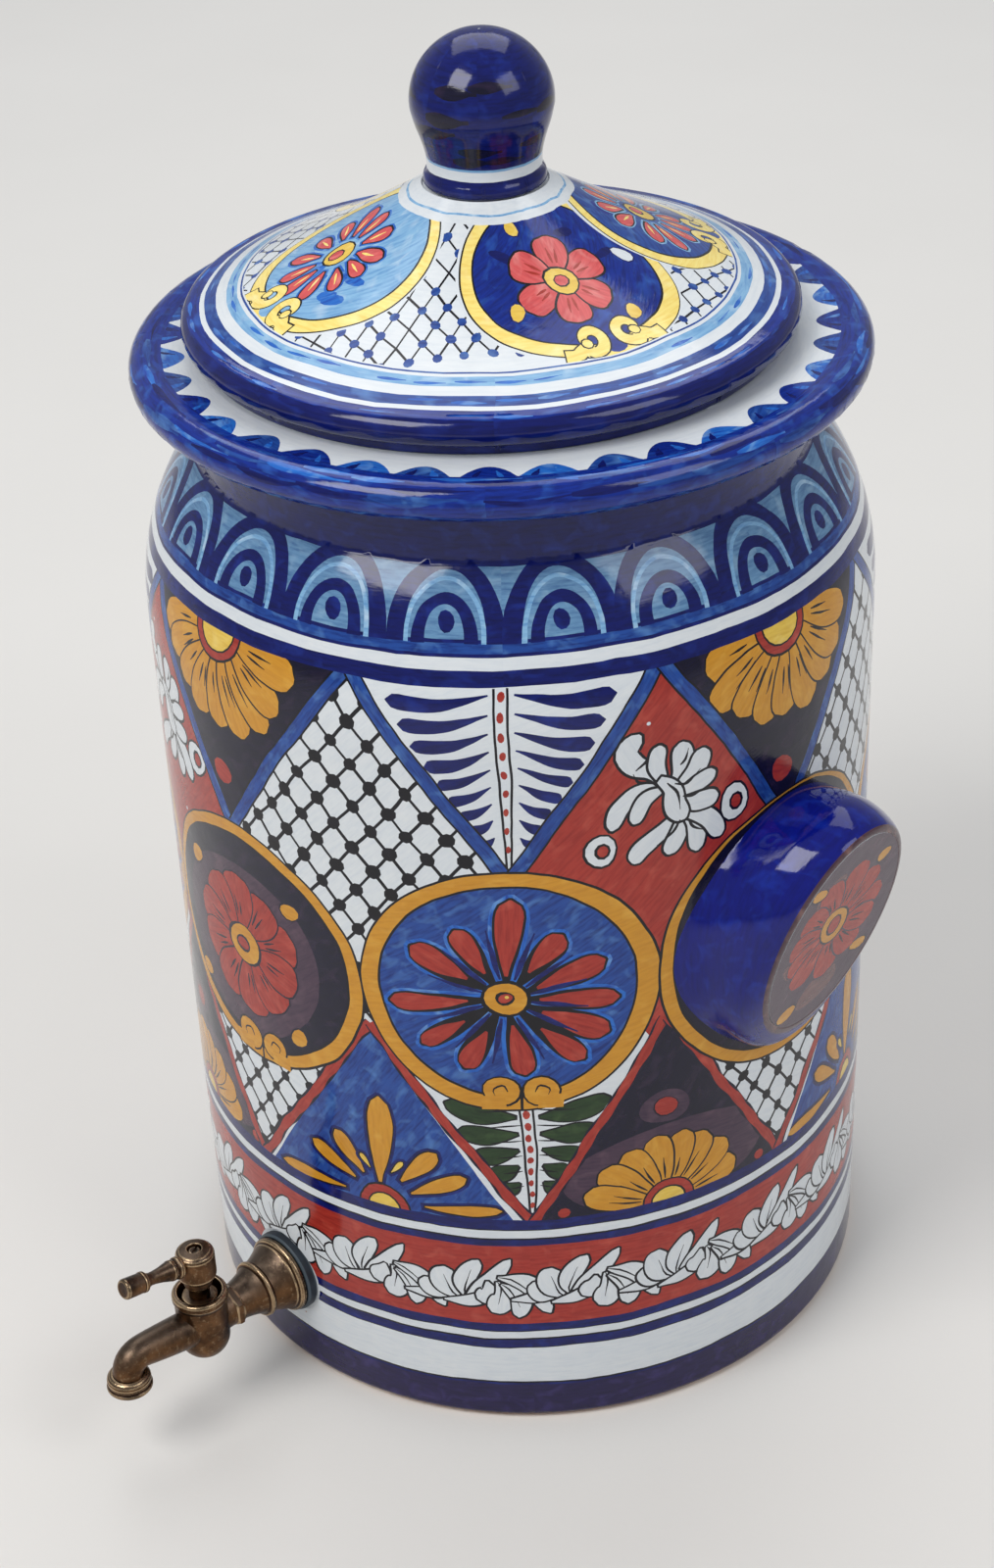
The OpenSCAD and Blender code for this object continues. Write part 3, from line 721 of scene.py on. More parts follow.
def ring_with_scrolls(p, k):
    """An ochre ring, its ground and what is painted in it."""
    mx = MIDS[k]
    handle = k in HANDLES_ON
    if is_blue(k):
        cy, rx, ry = 206.4, 54.7, 52.0
    elif handle:
        cy, rx, ry = 205.8, 58.0, 57.5
    else:
        cy, rx, ry = (200.5, 55.0, 51.5) if k == 0 else (208.0, 55.0, 54.0)
    if k in (5, 7):
        rx = 47.0                # the gaps stand closer there
    band = (8.2, 6.3) if is_blue(k) else (5.2, 4.0 if handle else 5.4)
    p.inked(oval(mx, cy, rx, ry, 0, 0, 0.004), "ochre", 0.9, brush=(mx, cy, 0.2))
    off = (0, 1.9) if handle else (0.8, 0.3)
    ground = oval(mx - off[0], cy + off[1], rx - band[0], ry - band[1], 0, 0, 0.004)
    p.inked(ground, "blue" if is_blue(k) else "dusk", 0.9, brush=(mx, cy, 0.6))
    if handle:
        return
    if is_blue(k):
        medallion_drops(p, mx - 1.2, cy - 1.9, k == 1)
    else:
        medallion_daisy(p, mx - 2, cy - 1.5, rx, ry)
    curl_pair(p, mx + 3.0, cy - ry + 8.2, 6.6, 7.2)
    p.fill(line_of([(mx + 3.2, cy - ry + 10), (mx + 2.8, cy - ry - 0.5)], 1.1, 4), "ink")


def acanthus(p, cx, cy, clip):
    """A curled white leaf scroll with dark outlines."""
    # the middle line of each leaf, with its width
    leaves = [
        ([(-3, 2), (-13, 3), (-20, -2), (-23, -10)], 7.0), ([(-4, 2), (-11, -1), (-15, -9)], 6.4),
        ([(-2, 3), (-8, 10), (-14, 14), (-17, 20), (-12, 26)], 8.6),
        ([(-3, 4), (-6, 12), (-5, 20)], 6.8), ([(3, -9), (-3, -14), (-12, -20), (-15, -25)], 7.6),
        ([(0, 1), (4, 8), (3, 19)], 8.8), ([(4, -10), (2, -17), (-2, -25)], 7.2),
        ([(1, 0), (9, 6), (12, 14)], 8.2), ([(5, -10), (9, -16), (9, -27)], 7.6),
        ([(2, -2), (9, 0), (17, 3)], 7.2), ([(5, -10), (14, -15), (19, -24)], 7.8),
        ([(3, -5), (10, -7), (18, -7)], 7.8), ([(-5, 6), (0, 1), (1, -6), (5, -12)], 8.4)]
    veins = [((-14, 12), (-10, 15), (-8, 20)), ((-9, 6), (-13, 7), (-15, 11)), ((1, 3), (6, 2), (11, 6)),
             ((-2, 4), (2, -1), (3, -8)), ((3, -12), (0, -16), (-6, -20)),
             ((6, -13), (8, -17), (13, -20)), ((3, 10), (5, 12), (6, 16)), ((4, -3), (8, -4), (12, -3))]
    for line, w in leaves:
        line = [(cx + x, cy + y) for x, y in line]
        p.inked(petal(line, w * 0.92, 18), "white", 1.05, clip=clip, brush=along(line[0], line[-1]))
    for line in veins:
        p.fill(tapered([(cx + x, cy + y) for x, y in line], 1.2, 9), "ink", clip)


def eye_drop(p, x, y, r, clip):
    """A white drop with a red spot."""
    p.inked(oval(x, y, r, r * 1.12, rng.uniform(-0.3, 0.3), 14, 0.06), "white", 0.9, clip=clip)
    p.inked(oval(x + 0.6, y, r * 0.36, r * 0.44, 0, 9), "red", 1.0, clip=clip)


# heights of the field between the painted bands, and of the corners of what is painted in it
FIELD_LOW, FIELD_TOP = 101, 333
PLUM_FAN, WHITE_FAN = 254.0, 258.0       # the lowest points of the hanging fans


def fan_foot(k):
    """Height of the lowest point of the fan above medallion k."""
    return WHITE_FAN if is_blue(k) else PLUM_FAN


def upper_diamond(p, k):
    """Right of a medallion and above: a lattice, or a leaf scroll on red."""
    mx, gx, nx = MIDS[k], GAPS[k + 1], MIDS[k + 1]
    corners = [(gx, FIELD_TOP), (mx, fan_foot(k)), (gx, 170), (nx, fan_foot(k + 1))]
    region = p.fill(corners, "red" if is_blue(k) else "white", brush=(gx, 250, 0.8))
    if is_blue(k):
        acanthus(p, gx + 3, 282, region)
        eye_drop(p, gx - 24, 264, 5.6, region)
        eye_drop(p, gx + 28, 270, 6.0, region)
        for dx, y in ((-6, 312), (12, 240), (-14, 238)):
            p.fill(oval(gx + dx, y, 0.8, 0.8, 0, 7), "white", region)
    else:
        lattice(p, region, (gx - 66, gx + 66, 168, 334), (13.8, 8.6), 2.85, 1.2, 0.03)


def lower_triangle(p, k):
    """Right of a medallion and below: a fan of ochre rays on blue, or a half daisy on plum."""
    mx, gx, nx = MIDS[k], GAPS[k + 1], MIDS[k + 1]
    region = p.fill([(gx, 186), (mx + 1, 99), (nx - 1, 99)], "dusk" if is_blue(k) else "blue",
                    brush=(gx, 140, 1.0))
    if is_blue(k):
        p.fill(oval(gx - 1, 146, 9.5, 8.0, 0, 0, 0.06), "plum", region)
        p.fill(oval(gx + 2, 118, 44, 19, 0, 0, 0.03), "plum", region)
        half_daisy(p, gx, FIELD_LOW, 9, 33, 8, math.radians(4), math.radians(172), 12.4, region, 6.4)
        p.inked(oval(gx - 1, 146, 4.7, 4.1, 0, 12, 0.05), "red", 0.5, "dusk", clip=region)
        for dx in (-41, 42):
            p.inked(oval(gx + dx, 104.2, 2.5, 2.3, 0, 9), "red", 0.4, "dusk", clip=region)
        return
    # start, end and width of each ray
    for a, b, w in (((-1, 112), (1, 154), 10.2), ((8, 115), (22.5, 131), 7.4),
                    ((12, 110), (34, 120.5), 6.6), ((17, 104.5), (47, 105.5), 4.6),
                    ((-8, 114.5), (-20, 131), 7.2), ((-12, 111), (-31, 121.5), 6.6),
                    ((-17, 104.5), (-49, 103.5), 4.8), ((4, 118), (9, 124), 2.2),
                    ((-5, 118), (-9, 124), 2.2)):
        ray = [(gx + a[0], a[1]), (gx + b[0], b[1])]
        p.halo(drop(ray, w, 0.7), 1.7, "navy", region)
        p.inked(drop(ray, w, 0.7), "lemon" if w < 3 else "ochre", 0.6, clip=region, brush=along(*ray))
    p.inked(oval(gx, 100.5, 10.4, n=20), "red", 0.8, clip=region)
    p.inked(oval(gx, 100.5, 6.4, n=16), "lemon", 0.8, clip=region)


def hanging_fan(p, k):
    """Above a medallion: navy feathers on white, or a half daisy on plum, in blue ribbons."""
    mx, left, right = MIDS[k], GAPS[k], GAPS[k + 1]
    foot = (mx + (1.6 if is_blue(k) else -2), fan_foot(k))
    region = p.fill([(left, FIELD_TOP), foot, (right, FIELD_TOP)], "white" if is_blue(k) else "dusk",
                    brush=(mx, 300, 0.3))
    if is_blue(k):
        for side in (-1, 1):
            feathers(p, foot[0], 328.5, 266, side, 9, 33, "navy", region, 5.9, (5, 40))
        beaded_stem(p, foot[0] + 0.2, 331, 260, region)
    else:
        half_daisy(p, mx - 3, 332, 14, 38.5, 9, math.radians(184), math.radians(172), 13.0, region, 8.8)
        p.inked(oval(mx - 4, 274, 5.4, 5.0, 0, 12, 0.05), "red", 0.5, "dusk", clip=region)
    for x in (left, right):
        line = [(x, 334.5), ((x + foot[0]) / 2 + rng.uniform(-0.6, 0.6), (FIELD_TOP + foot[1]) / 2),
                (foot[0] + (0.8 if x > mx else -0.8), foot[1] - 2)]
        for width, name in ((6.2, "ink"), (4.7, "blue")):
            p.fill(line_of(line, width, 16), name, brush=along(line[0], line[-1]))


def standing_vee(p, k):
    """Below a medallion: green leaves or a lattice on white, between red lines."""
    mx, left, right = MIDS[k], GAPS[k], GAPS[k + 1]
    foot_x = mx + (4.6 if is_blue(k) else -3)
    region = p.fill([(mx - 47, 176), (foot_x, FIELD_LOW), (mx + 47, 176)], "white")
    if is_blue(k):
        for side in (-1, 1):
            feathers(p, foot_x, 151, 112, side, 5, 24, "green", region, 9.0, (-12, 46))
            for j in range(6):
                y = 154.5 - 7.2 * j
                p.fill(tapered([(foot_x + side * 3, y), (foot_x + side * (6 + 12 * (1 - j / 6)), y - 1.5)],
                               0.8, 5), "ink", region)
        beaded_stem(p, foot_x, 155, 104, region)
    else:
        lattice(p, region, (mx - 46, mx + 46, 99, 170), (12.4, 7.9), 2.5, 1.1, -0.02)
    for x in (left, right):
        line = [((x * (1 - t) + foot_x * t) + rng.uniform(-0.7, 0.7), 187 + (100.5 - 187) * t)
                for t in [j / 9 for j in range(10)]]
        p.fill(ribbon(line, lambda t: 2.45 + 0.25 * math.sin(40 * t), 40), "dusk")
        p.fill(ribbon(line, lambda t: 1.8 + 0.3 * math.sin(44 * t + 1), 40), "red",
               brush=along(line[0], line[-1]))


def wall_painting():
    """All of the wall, from the foot up to the neck, with the hole for the tap."""
    p = Painting(0.5, WALL_R)
    p.band(-5, WALL_TOP + 5, "white")
    for motifs in ((upper_diamond, lower_triangle), (hanging_fan, standing_vee), (ring_with_scrolls,)):
        for k in range(MEDALLIONS):
            for motif in motifs:
                motif(p, k)
    # bands below the field
    for y0, y1, name in ((-5, 18.0, "violet"), (17.2, 18.6, "navy"), (18.4, 37.4, "white"),
                         (37.4, 41.6, "navy"), (41.6, 46.0, "white"), (46.0, 49.8, "navy"),
                         (49.8, 88.8, "red"), (88.8, 92.2, "navy"), (92.2, 97.0, "white"),
                         (97.0, 101.6, "navy")):
        p.band(y0, y1, name)
        if name == "white":
            p.band(y0 - 0.25, y0 + 0.55, "ink")
            p.band(y1 - 0.45, y1 + 0.35, "ink")
    garland(p)
    shoulder_arches(p)
    # the flat seat ground round the tap's hole, and the hole; its edge has points on both sides
    for r in (SEAT_R + 0.3, SEAT_R - 0.3):
        p.fill(oval(TAP_X, TAP_Z, r, n=48), "white")
    p.holes.add(p.fill(oval(TAP_X, TAP_Z, HOLE_R, n=40), "white"))
    return p


def garland(p, count=20):
    """White curled leaves, up and down in turn, all round on the red band."""
    pitch = ROUND / count
    # three points of each leaf, its width and where it is widest
    leaves = [((-16, 62), (-4, 63), (6, 68), 5.4, 0.55), ((2, 62), (-4, 64), (-7, 70), 7.6, 0.72),
              ((6, 62), (0, 68), (1, 77), 9.8, 0.70), ((8, 63), (8, 71), (14, 82), 8.0, 0.55),
              ((9, 64), (16, 69), (26, 83), 7.0, 0.46), ((0, 60), (12, 62), (26, 70), 5.6, 0.6),
              ((18, 71), (17, 66), (13, 62), 7.6, 0.70), ((21, 71), (24, 64), (19, 56), 9.6, 0.70),
              ((23, 70), (30, 63), (30, 54), 8.2, 0.60), ((22, 73), (34, 69), (42, 55.5), 8.0, 0.52)]
    for k in range(count):
        x = -ROUND / 2 + (k + 0.2) * pitch + rng.uniform(-1.0, 1.0)
        y = rng.uniform(-0.7, 0.7)
        for *pts, width, widest in leaves:
            pts = [(x + a + rng.uniform(-0.6, 0.6), y + b + rng.uniform(-0.5, 0.5)) for a, b in pts]
            p.inked(drop(pts, width, widest, 16), "white", 0.9, brush=along(pts[0], pts[-1]))
            if width > 7.9:
                vein = [tuple(Vector(a).lerp(Vector(b), 0.5)) for a, b in zip(pts, pts[1:])]
                p.fill(tapered([pts[0], *vein], 0.8, 6), "ink")


def shoulder_arches(p, count=20):
    """Nested navy arches with a dot, on a washed grey blue shoulder; above them the neck is painted navy,
    partly as painted shadow of the brim.
    """
    y1, y2, y3, y4 = (y_of(z) for z in (331.0, 336.4, 340.8, 346.0))
    top = y_of(367.6)
    p.bands((y1, y2, "navy"), (y2, y3, "white"), (y3, y4, "blue"), (y3 - 0.3, y3 + 0.9, "navy"),
            (y4 - 1.2, y4 + 0.3, "navy"), (y4, top + 1, "mist"))
    pitch = ROUND / count
    for k in range(count):
        x = -ROUND / 2 + (k + 0.5) * pitch + rng.uniform(-1.2, 1.2)
        for half, rise, width, name in ((18.4, 27.5, 6.2, "navy"), (14.4, 21.6, 1.6, "sky"),
                                        (9.8, 15.0, 4.6, "navy")):
            arch = [(x + half * math.cos(a) * (1 + 0.12 * math.sin(a)), y4 - 1.5 + rise * math.sin(a))
                    for a in [math.pi * j / 12 for j in range(13)]]
            stroke = ribbon(arch, lambda t: width / 2 * (1.15 - 0.25 * math.sin(math.pi * t)), 26)
            p.fill(stroke, name, brush=(x, y4, 0.0))
        p.fill(oval(x + rng.uniform(-0.8, 0.8), y4 + 5.8, 3.3, 3.7, 0, 11, 0.05), "navy")
    # the neck under the brim, painted navy: its darkness is partly painted shadow of the brim
    p.band(top - 1.5, WALL_TOP + 3, "navy")


# ------------------------------------------------------------ painted skins

def add_object(name, mesh, mats):
    """A new object in the scene, with its materials."""
    obj = bpy.data.objects.new(name, mesh)
    bpy.context.scene.collection.objects.link(obj)
    for m in mats:
        mesh.materials.append(m)
    return obj


def dress(obj, body, node):
    """Makes the object ride with its body in place of the solid it dresses."""
    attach(obj, body)
    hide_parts(node)
    return obj


def panel(xs, ys):
    """The outline and the inner points of a rectangle of the painting."""
    edge = [(x, ys[0]) for x in xs] + [(xs[-1], y) for y in ys[1:-1]]
    edge += [(x, ys[-1]) for x in reversed(xs)] + [(xs[0], y) for y in reversed(ys[1:-1])]
    return edge, [(x, y) for x in xs[1:-1] for y in ys[1:-1]]


SKIN_T = 0.85                    # thickness of a skin of glaze
CLAY_IN = 0.75                   # how deep the clay lies under it, so that they overlap


def cut_up(p, edge, inner):
    """The painting inside the edge as triangles, each with the uppermost shape that covers it:
    (corners, shape, shift), where shift is how far that shape was moved round. And the points."""
    box = (min(q[0] for q in edge), max(q[0] for q in edge),
           min(q[1] for q in edge), max(q[1] for q in edge))
    points = list(edge)
    loops = [list(range(len(edge)))]
    owner = [None]
    for number, shape in enumerate(p.shapes):
        left, right, low, high = shape.box
        for shift in (0, -p.span, p.span):
            if right + shift < box[0] or left + shift > box[1] or high < box[2] or low > box[3]:
                continue
            loops.append(list(range(len(points), len(points) + len(shape.outline))))
            points += [(x + shift, y) for x, y in shape.outline]
            owner.append((number, shift))
    points += inner
    points, _, triangles, _, _, origins = delaunay_2d_cdt([Vector(q) for q in points], [], loops, 0, 1e-4)
    pieces = []
    for corners, covering in zip(triangles, origins):
        here = dict(owner[i] for i in covering if i)
        if 0 not in covering or p.holes & here.keys():
            continue
        top = next((s for s in sorted(here, reverse=True)
                    if p.shapes[s].clip is None or p.shapes[s].clip in here), None)
        pieces.append((tuple(corners), BARE if top is None else p.shapes[top], here.get(top, 0)))
    return points, pieces


def painted_skin(name, p, edge, inner, place):
    """A glazed skin: the painting cut into triangles, laid on a surface by place(x, y), with a
    back and edges, so that it is a closed coat of glaze."""
    points, pieces = cut_up(p, edge, inner)
    spots, normals = [], []
    for q in points:
        spot, normal = place(q.x, q.y)
        spots.append(spot)
        normals.append(normal)
    total = len(spots)
    faces, colours, uvs = [], [], []
    for corners, shape, shift in pieces:
        x0, y0, turn = shape.brush
        c, s = math.cos(turn), math.sin(turn)
        faces.append(corners)
        colours.append(shape.glaze)
        for i in corners:
            dx, dy = points[i].x - x0 - shift, points[i].y - y0
            uvs += (dx * c + dy * s + shape.seed, -dx * s + dy * c + shape.seed * 0.37)
    sides = {(f[k - 1], f[k]) for f in faces for k in range(3)}
    loops = [normals[i] for f in faces for i in f]
    spots += [q - m * (SKIN_T * MM) for q, m in zip(spots, normals)]
    for f in list(faces):
        faces.append(tuple(i + total for i in reversed(f)))
        loops += [-normals[i] for i in reversed(f)]
    for a, b in sides:
        if (b, a) not in sides:
            m = (spots[a] - spots[b]).cross(spots[a + total] - spots[a])
            faces.append((b, a, a + total, b + total))
            loops += [unit(m, normals[a], 0)] * 4
    colours += [0] * (len(faces) - len(colours))
    uvs += [0.0] * (2 * len(loops) - len(uvs))
    used = sorted({i for f in faces for i in f})
    new_of = {i: k for k, i in enumerate(used)}
    mesh = bpy.data.meshes.new(name)
    mesh.from_pydata([spots[i] for i in used], [], [[new_of[i] for i in f] for f in faces])
    mesh.polygons.foreach_set("material_index", colours)
    mesh.polygons.foreach_set("use_smooth", [True] * len(faces))
    mesh.uv_layers.new(name="brush").data.foreach_set("uv", uvs)
    mesh.normals_split_custom_set([tuple(v) for v in loops])
    mesh.update()
    return add_object(name, mesh, GLAZES.values())


def quarter_skins(name, p, rows, place, body, node, columns):
    """The painting laid on in four quarters, so that each keeps its fine detail."""
    for q in range(4):
        x0 = p.span * (q / 4 - 0.5)
        xs = [x0 + p.span / 4 * k / columns for k in range(columns + 1)]
        skin = painted_skin(f"{name}_{q + 1}", p, *panel(xs, rows), place)
        dress(skin, body, node)


# ------------------------------------------------------------ solids built from rings

def ring_points(r, n, z=0.0):
    """n points round the z axis, or the one point of a pole."""
    if r < 1e-6:
        return [(0, 0, z)]
    return [(r * math.cos(TAU * j / n), r * math.sin(TAU * j / n), z) for j in range(n)]


def softened(points, r, steps=2):
    """A half profile of (radius, height) with its corners rounded, as (radius, height, wear):
    wear is 1 on outer edges, -1 in inner corners and 0 elsewhere. It runs counterclockwise."""
    pts = [Vector(q) for q in points]
    out = [(*pts[0], 0.0)]
    for a, b, c in zip(pts, pts[1:], pts[2:]):
        d1, d2 = b - a, c - b
        turn = abs(d1.angle(d2, 0))
        if turn < math.radians(14):
            out.append((*b, 0.0))
            continue
        t = min(r, 0.42 * d1.length, 0.42 * d2.length)
        wear = 1.0 if d1.x * d2.y - d1.y * d2.x > 0 else -1.0
        p0, p1 = b - d1.normalized() * t, b + d2.normalized() * t
        out.append((*(p0 - d1.normalized() * t * 0.15), 0.0))
        for k in range(steps + 1):
            u = k / steps
            out.append((*((1 - u) ** 2 * p0 + 2 * u * (1 - u) * b + u * u * p1), wear))
        out.append((*(p1 + d2.normalized() * t * 0.15), 0.0))
    out.append((*pts[-1], 0.0))
    return out


class Solid:
    """Closed shells gathered into one mesh, in mm, with brush coordinates and edge wear."""

    def __init__(self):
        self.verts, self.faces, self.uvs, self.mats, self.wear = [], [], [], [], []

    def rings(self, loops, place=Matrix(), mat=0, around=False, wear=None):
        """Skins the loops in turn, and back to the first if it goes around; else both ends are
        capped. A loop of one point is a pole. mat may be a function of the ring's number."""
        n = max(len(q) for q in loops)
        ids, ways, way = [], [], 0.0
        for k, loop in enumerate(loops):
            first = len(self.verts)
            self.verts += [place @ Vector(q) for q in loop]
            self.wear += [wear[k] if wear else 0.0] * len(loop)
            ids.append([first] * n if len(loop) == 1 else list(range(first, first + n)))
            if k:
                way += (Vector(loop[0]) - Vector(loops[k - 1][0])).length
            ways.append(way)
        girth = max(sum((Vector(q[j]) - Vector(q[j - 1])).length for j in range(len(q)))
                    for q in loops)
        if not around:
            for k, flip in ((0, True), (len(loops) - 1, False)):
                if len(loops[k]) > 1:
                    self.face(ids[k][::-1] if flip else ids[k], [(0, 0)] * n, mat, k)
        for k in range(len(loops) if around else len(loops) - 1):
            after = (k + 1) % len(loops)
            a, b = ids[k], ids[after]
            v0, v1 = ways[k], ways[after] if after else way + 1
            for j in range(n):
                j2 = (j + 1) % n
                u0, u1 = girth * j / n, girth * (j + 1) / n
                self.face([a[j], a[j2], b[j2], b[j]], [(u0, v0), (u1, v0), (u1, v1), (u0, v1)],
                          mat, k)

    def face(self, corners, uv, mat, k):
        """One face, without the corners that fall together at a pole."""
        keep = [i for i in range(len(corners)) if corners[i] != corners[i - 1]]
        if len(keep) > 2:
            self.faces.append([corners[i] for i in keep])
            self.uvs += [c for i in keep for c in uv[i]]
            self.mats.append(mat(k) if callable(mat) else mat)

    def lathe(self, profile, place=Matrix(), n=64, mat=0, around=False):
        """Turns a counterclockwise half profile round the local z axis."""
        loops = [ring_points(r, n, z) for r, z, *_ in profile]
        self.rings(loops, place, mat, around, [q[2] if len(q) > 2 else 0.0 for q in profile])

    def nut(self, flats, z0, z1, place, bore=0.0, cut=(1, 1), n=72):
        """A six-sided piece, its flats that far from its middle line, with its corners turned
        off above and below by cut, and a hole of radius bore."""
        def hexagon(limit, z):
            loop = []
            for j in range(n):
                a = TAU * j / n
                r = min(flats / math.cos((a % (TAU / 6)) - TAU / 12), limit)
                loop.append((r * math.cos(a), r * math.sin(a), z))
            return loop
        full = flats / math.cos(TAU / 12)
        levels = [(z0, flats - 0.6 * cut[0]), (z0 + 0.15, flats * 1.002)]
        levels += [(z0 + 0.15 + t * 1.1 * cut[0], flats + (full - flats) * t) for t in (0.5, 1.0)]
        levels += [(z1 - 0.15 - t * 1.1 * cut[1], flats + (full - flats) * t) for t in (1.0, 0.5)]
        levels += [(z1 - 0.15, flats * 1.002), (z1, flats - 0.6 * cut[1])]
        loops = [hexagon(limit, z) for z, limit in levels]
        ends = [ring_points(bore, n, z) for z in (z1, z0)]
        wear = [0.3, 1, 1, 0, 0, 1, 1, 0.3, 0, 0]
        if bore:
            self.rings(loops + ends, place, around=True, wear=wear)
        else:
            self.rings([ends[1]] + loops + [ends[0]], place, wear=[0] + wear[:8] + [0])

    def add_mesh(self, mesh, place, wear):
        first = len(self.verts)
        self.verts += [place @ v.co for v in mesh.vertices]
        self.wear += [wear] * len(mesh.vertices)
        for poly in mesh.polygons:
            self.face([first + i for i in poly.vertices], [(0, 0)] * len(poly.vertices), 0, 0)

    def object(self, name, mats, sharp=32):
        """The shells as an object in metres; edges steeper than sharp degrees stay sharp."""
        mesh = bpy.data.meshes.new(name)
        mesh.from_pydata([v * MM for v in self.verts], [], self.faces)
        mesh.polygons.foreach_set("material_index", self.mats)
        mesh.polygons.foreach_set("use_smooth", [True] * len(self.faces))
        mesh.uv_layers.new(name="brush").data.foreach_set("uv", self.uvs)
        mesh.attributes.new("wear", "FLOAT", "POINT").data.foreach_set("value", self.wear)
        mesh.set_sharp_from_angle(angle=math.radians(sharp))
        mesh.update()
        return add_object(name, mesh, mats)


def as_shown(obj):
    """The object's mesh with its modifiers applied, and its modifiers removed."""
    bpy.context.view_layer.update()
    mesh = bpy.data.meshes.new_from_object(obj.evaluated_get(bpy.context.evaluated_depsgraph_get()))
    obj.modifiers.clear()
    return mesh


def cut_away(obj, cutters):
    """Takes the cutters out of the object, and removes them."""
    for tool in cutters:
        step = obj.modifiers.new("cut", "BOOLEAN")
        step.operation, step.solver, step.object = "DIFFERENCE", "EXACT", tool
    mesh = as_shown(obj)
    old, obj.data = obj.data, mesh
    bpy.data.meshes.remove(old)
    for tool in cutters:
        bpy.data.objects.remove(tool)


# ------------------------------------------------------------ clay, brass and rubber

def bare_clay():
    mat, n, s, height = shaded("bare fired clay", 0, 0.5, 0.0008, srgb(196, 150, 118))
    here = n.here()
    grain = n.noise(here, 700, 3, 0.6)
    cloud = n.noise(here, 30, 4, 0.55)
    c = n.mix(n.ramp(cloud, 0.35, 0.7), srgb(204, 160, 126), srgb(168, 116, 84))
    n.link(n.mix(n.ramp(grain, 0.55, 0.75, 0, 0.5), c, srgb(118, 84, 66)), s["Base Color"])
    n.link(n.ramp(grain, 0.3, 0.7, 0.75, 0.92), s["Roughness"])
    n.link(grain, height)
    return mat


def metal(name, dark, mid, bright, top_sheen_colour, rough):
    """Old brass, with its colours as 0 to 255: brown in the hollows, rubbed bright on the edges, and grey on
    the faces that look up, a painted sheen that stands in for the light from above."""
    dark, mid, bright, top_sheen_colour = (srgb(*c) for c in (dark, mid, bright, top_sheen_colour))
    mat, n, shader, height = shaded(name, 1, 0.35, 0.0004, mid)
    here = n.here()
    wear = n.wear()
    cloud = n.noise(here, 90, 4, 0.6, 0.3)
    fine = n.noise(here, 520, 3, 0.6)
    spots = n.noise(here, 1500, 2, 0.5)
    facing = n.new("ShaderNodeSeparateXYZ")
    n.link(n.new("ShaderNodeNewGeometry").outputs["Normal"], facing.inputs[0])
    worn = n.math("MULTIPLY", n.ramp(wear, 0.1, 0.9), n.ramp(cloud, 0.3, 0.6, 0.35, 0.9))
    # painted highlight: the faces that look up turn grey, as if lit from above
    top_sheen = n.math("MULTIPLY", n.ramp(facing.outputs["Z"], 0.25, 0.9, 0, 0.8),
                     n.ramp(cloud, 0.35, 0.6, 0.45, 1))
    colour = n.mix(n.ramp(cloud, 0.36, 0.66), dark, mid)
    for amount, over in ((n.ramp(fine, 0.55, 0.8, 0, 0.45), bright), (top_sheen, top_sheen_colour), (worn, bright),
                         (n.ramp(wear, -0.9, -0.1, 0.85, 0.0), dark),
                         (n.ramp(spots, 0.62, 0.75, 0, 0.5), dark)):
        colour = n.mix(amount, colour, over)
    n.link(colour, shader["Base Color"])
    r = n.math("ADD", n.ramp(cloud, 0.3, 0.7, rough - 0.08, rough + 0.1), n.ramp(fine, 0.3, 0.8, 0, 0.1))
    n.link(n.math("SUBTRACT", r, n.math("MULTIPLY", worn, 0.12)), shader["Roughness"])
    n.link(n.math("ADD", fine, n.math("MULTIPLY", cloud, 1.2)), height)
    return mat


def rubber():
    mat, n, s, height = shaded("black rubber", 0, 0.3, 0.0003, srgb(26, 30, 36))
    here = n.here()
    wear = n.wear()
    cloud = n.noise(here, 160, 3, 0.6)
    c = n.mix(n.ramp(cloud, 0.35, 0.7), srgb(16, 22, 30), srgb(32, 42, 54))
    n.link(n.mix(n.ramp(wear, 0, 1, 0, 0.35), c, srgb(96, 112, 122)), s["Base Color"])
    n.link(n.ramp(cloud, 0.3, 0.7, 0.42, 0.62), s["Roughness"])
    n.link(cloud, height)
    return mat


CLAY = bare_clay()
BRASS = metal("antique brass", (52, 37, 28), (122, 88, 60), (192, 166, 132), (96, 88, 80), 0.32)
SCREW = metal("screw brass", (48, 38, 32), (112, 86, 66), (186, 164, 138), (92, 86, 80), 0.34)
RUBBER = rubber()
LUG_NAVY = glaze("side handle navy", (10, 20, 118), (6, 8, 52), (26, 62, 182), 0.35, 0.45, 0.05)
LUG_RIM = glaze("worn plum rim", (84, 58, 66), (46, 32, 50), (150, 112, 104), 0.6, 0.6, 0.12)
# ------------------------------------------------------------ the pot

wall_rows = [2.2, 3.5] + [7 + 7.5 * k for k in range(40)] + [SHOULDER_Z + 3 * k for k in range(1, 60)]
wall_rows = [y for y in wall_rows if y < WALL_TOP - 2] + [WALL_TOP]
quarter_skins("wall_glaze", wall_painting(), wall_rows, on_wall, "pot", "pot_body", 30)

BRIM_R = 115.0                   # radius the brim is unrolled at


def brim_outside():
    """(way along, radius, height) from under the brim, round its roll and in to the mouth."""
    return way_along([(117.6, 390.7), (121.5, 390.5), *arc(126.5, 397, 6.8, range(-100, 101, 10)),
                      (120.6, 402.65), (115, 402.55), (108, 402.55), (101.4, 402.5), (100.3, 402.1),
                      (99.7, 401.3), (99.5, 400), (99.5, 395)])


BRIM = brim_outside()


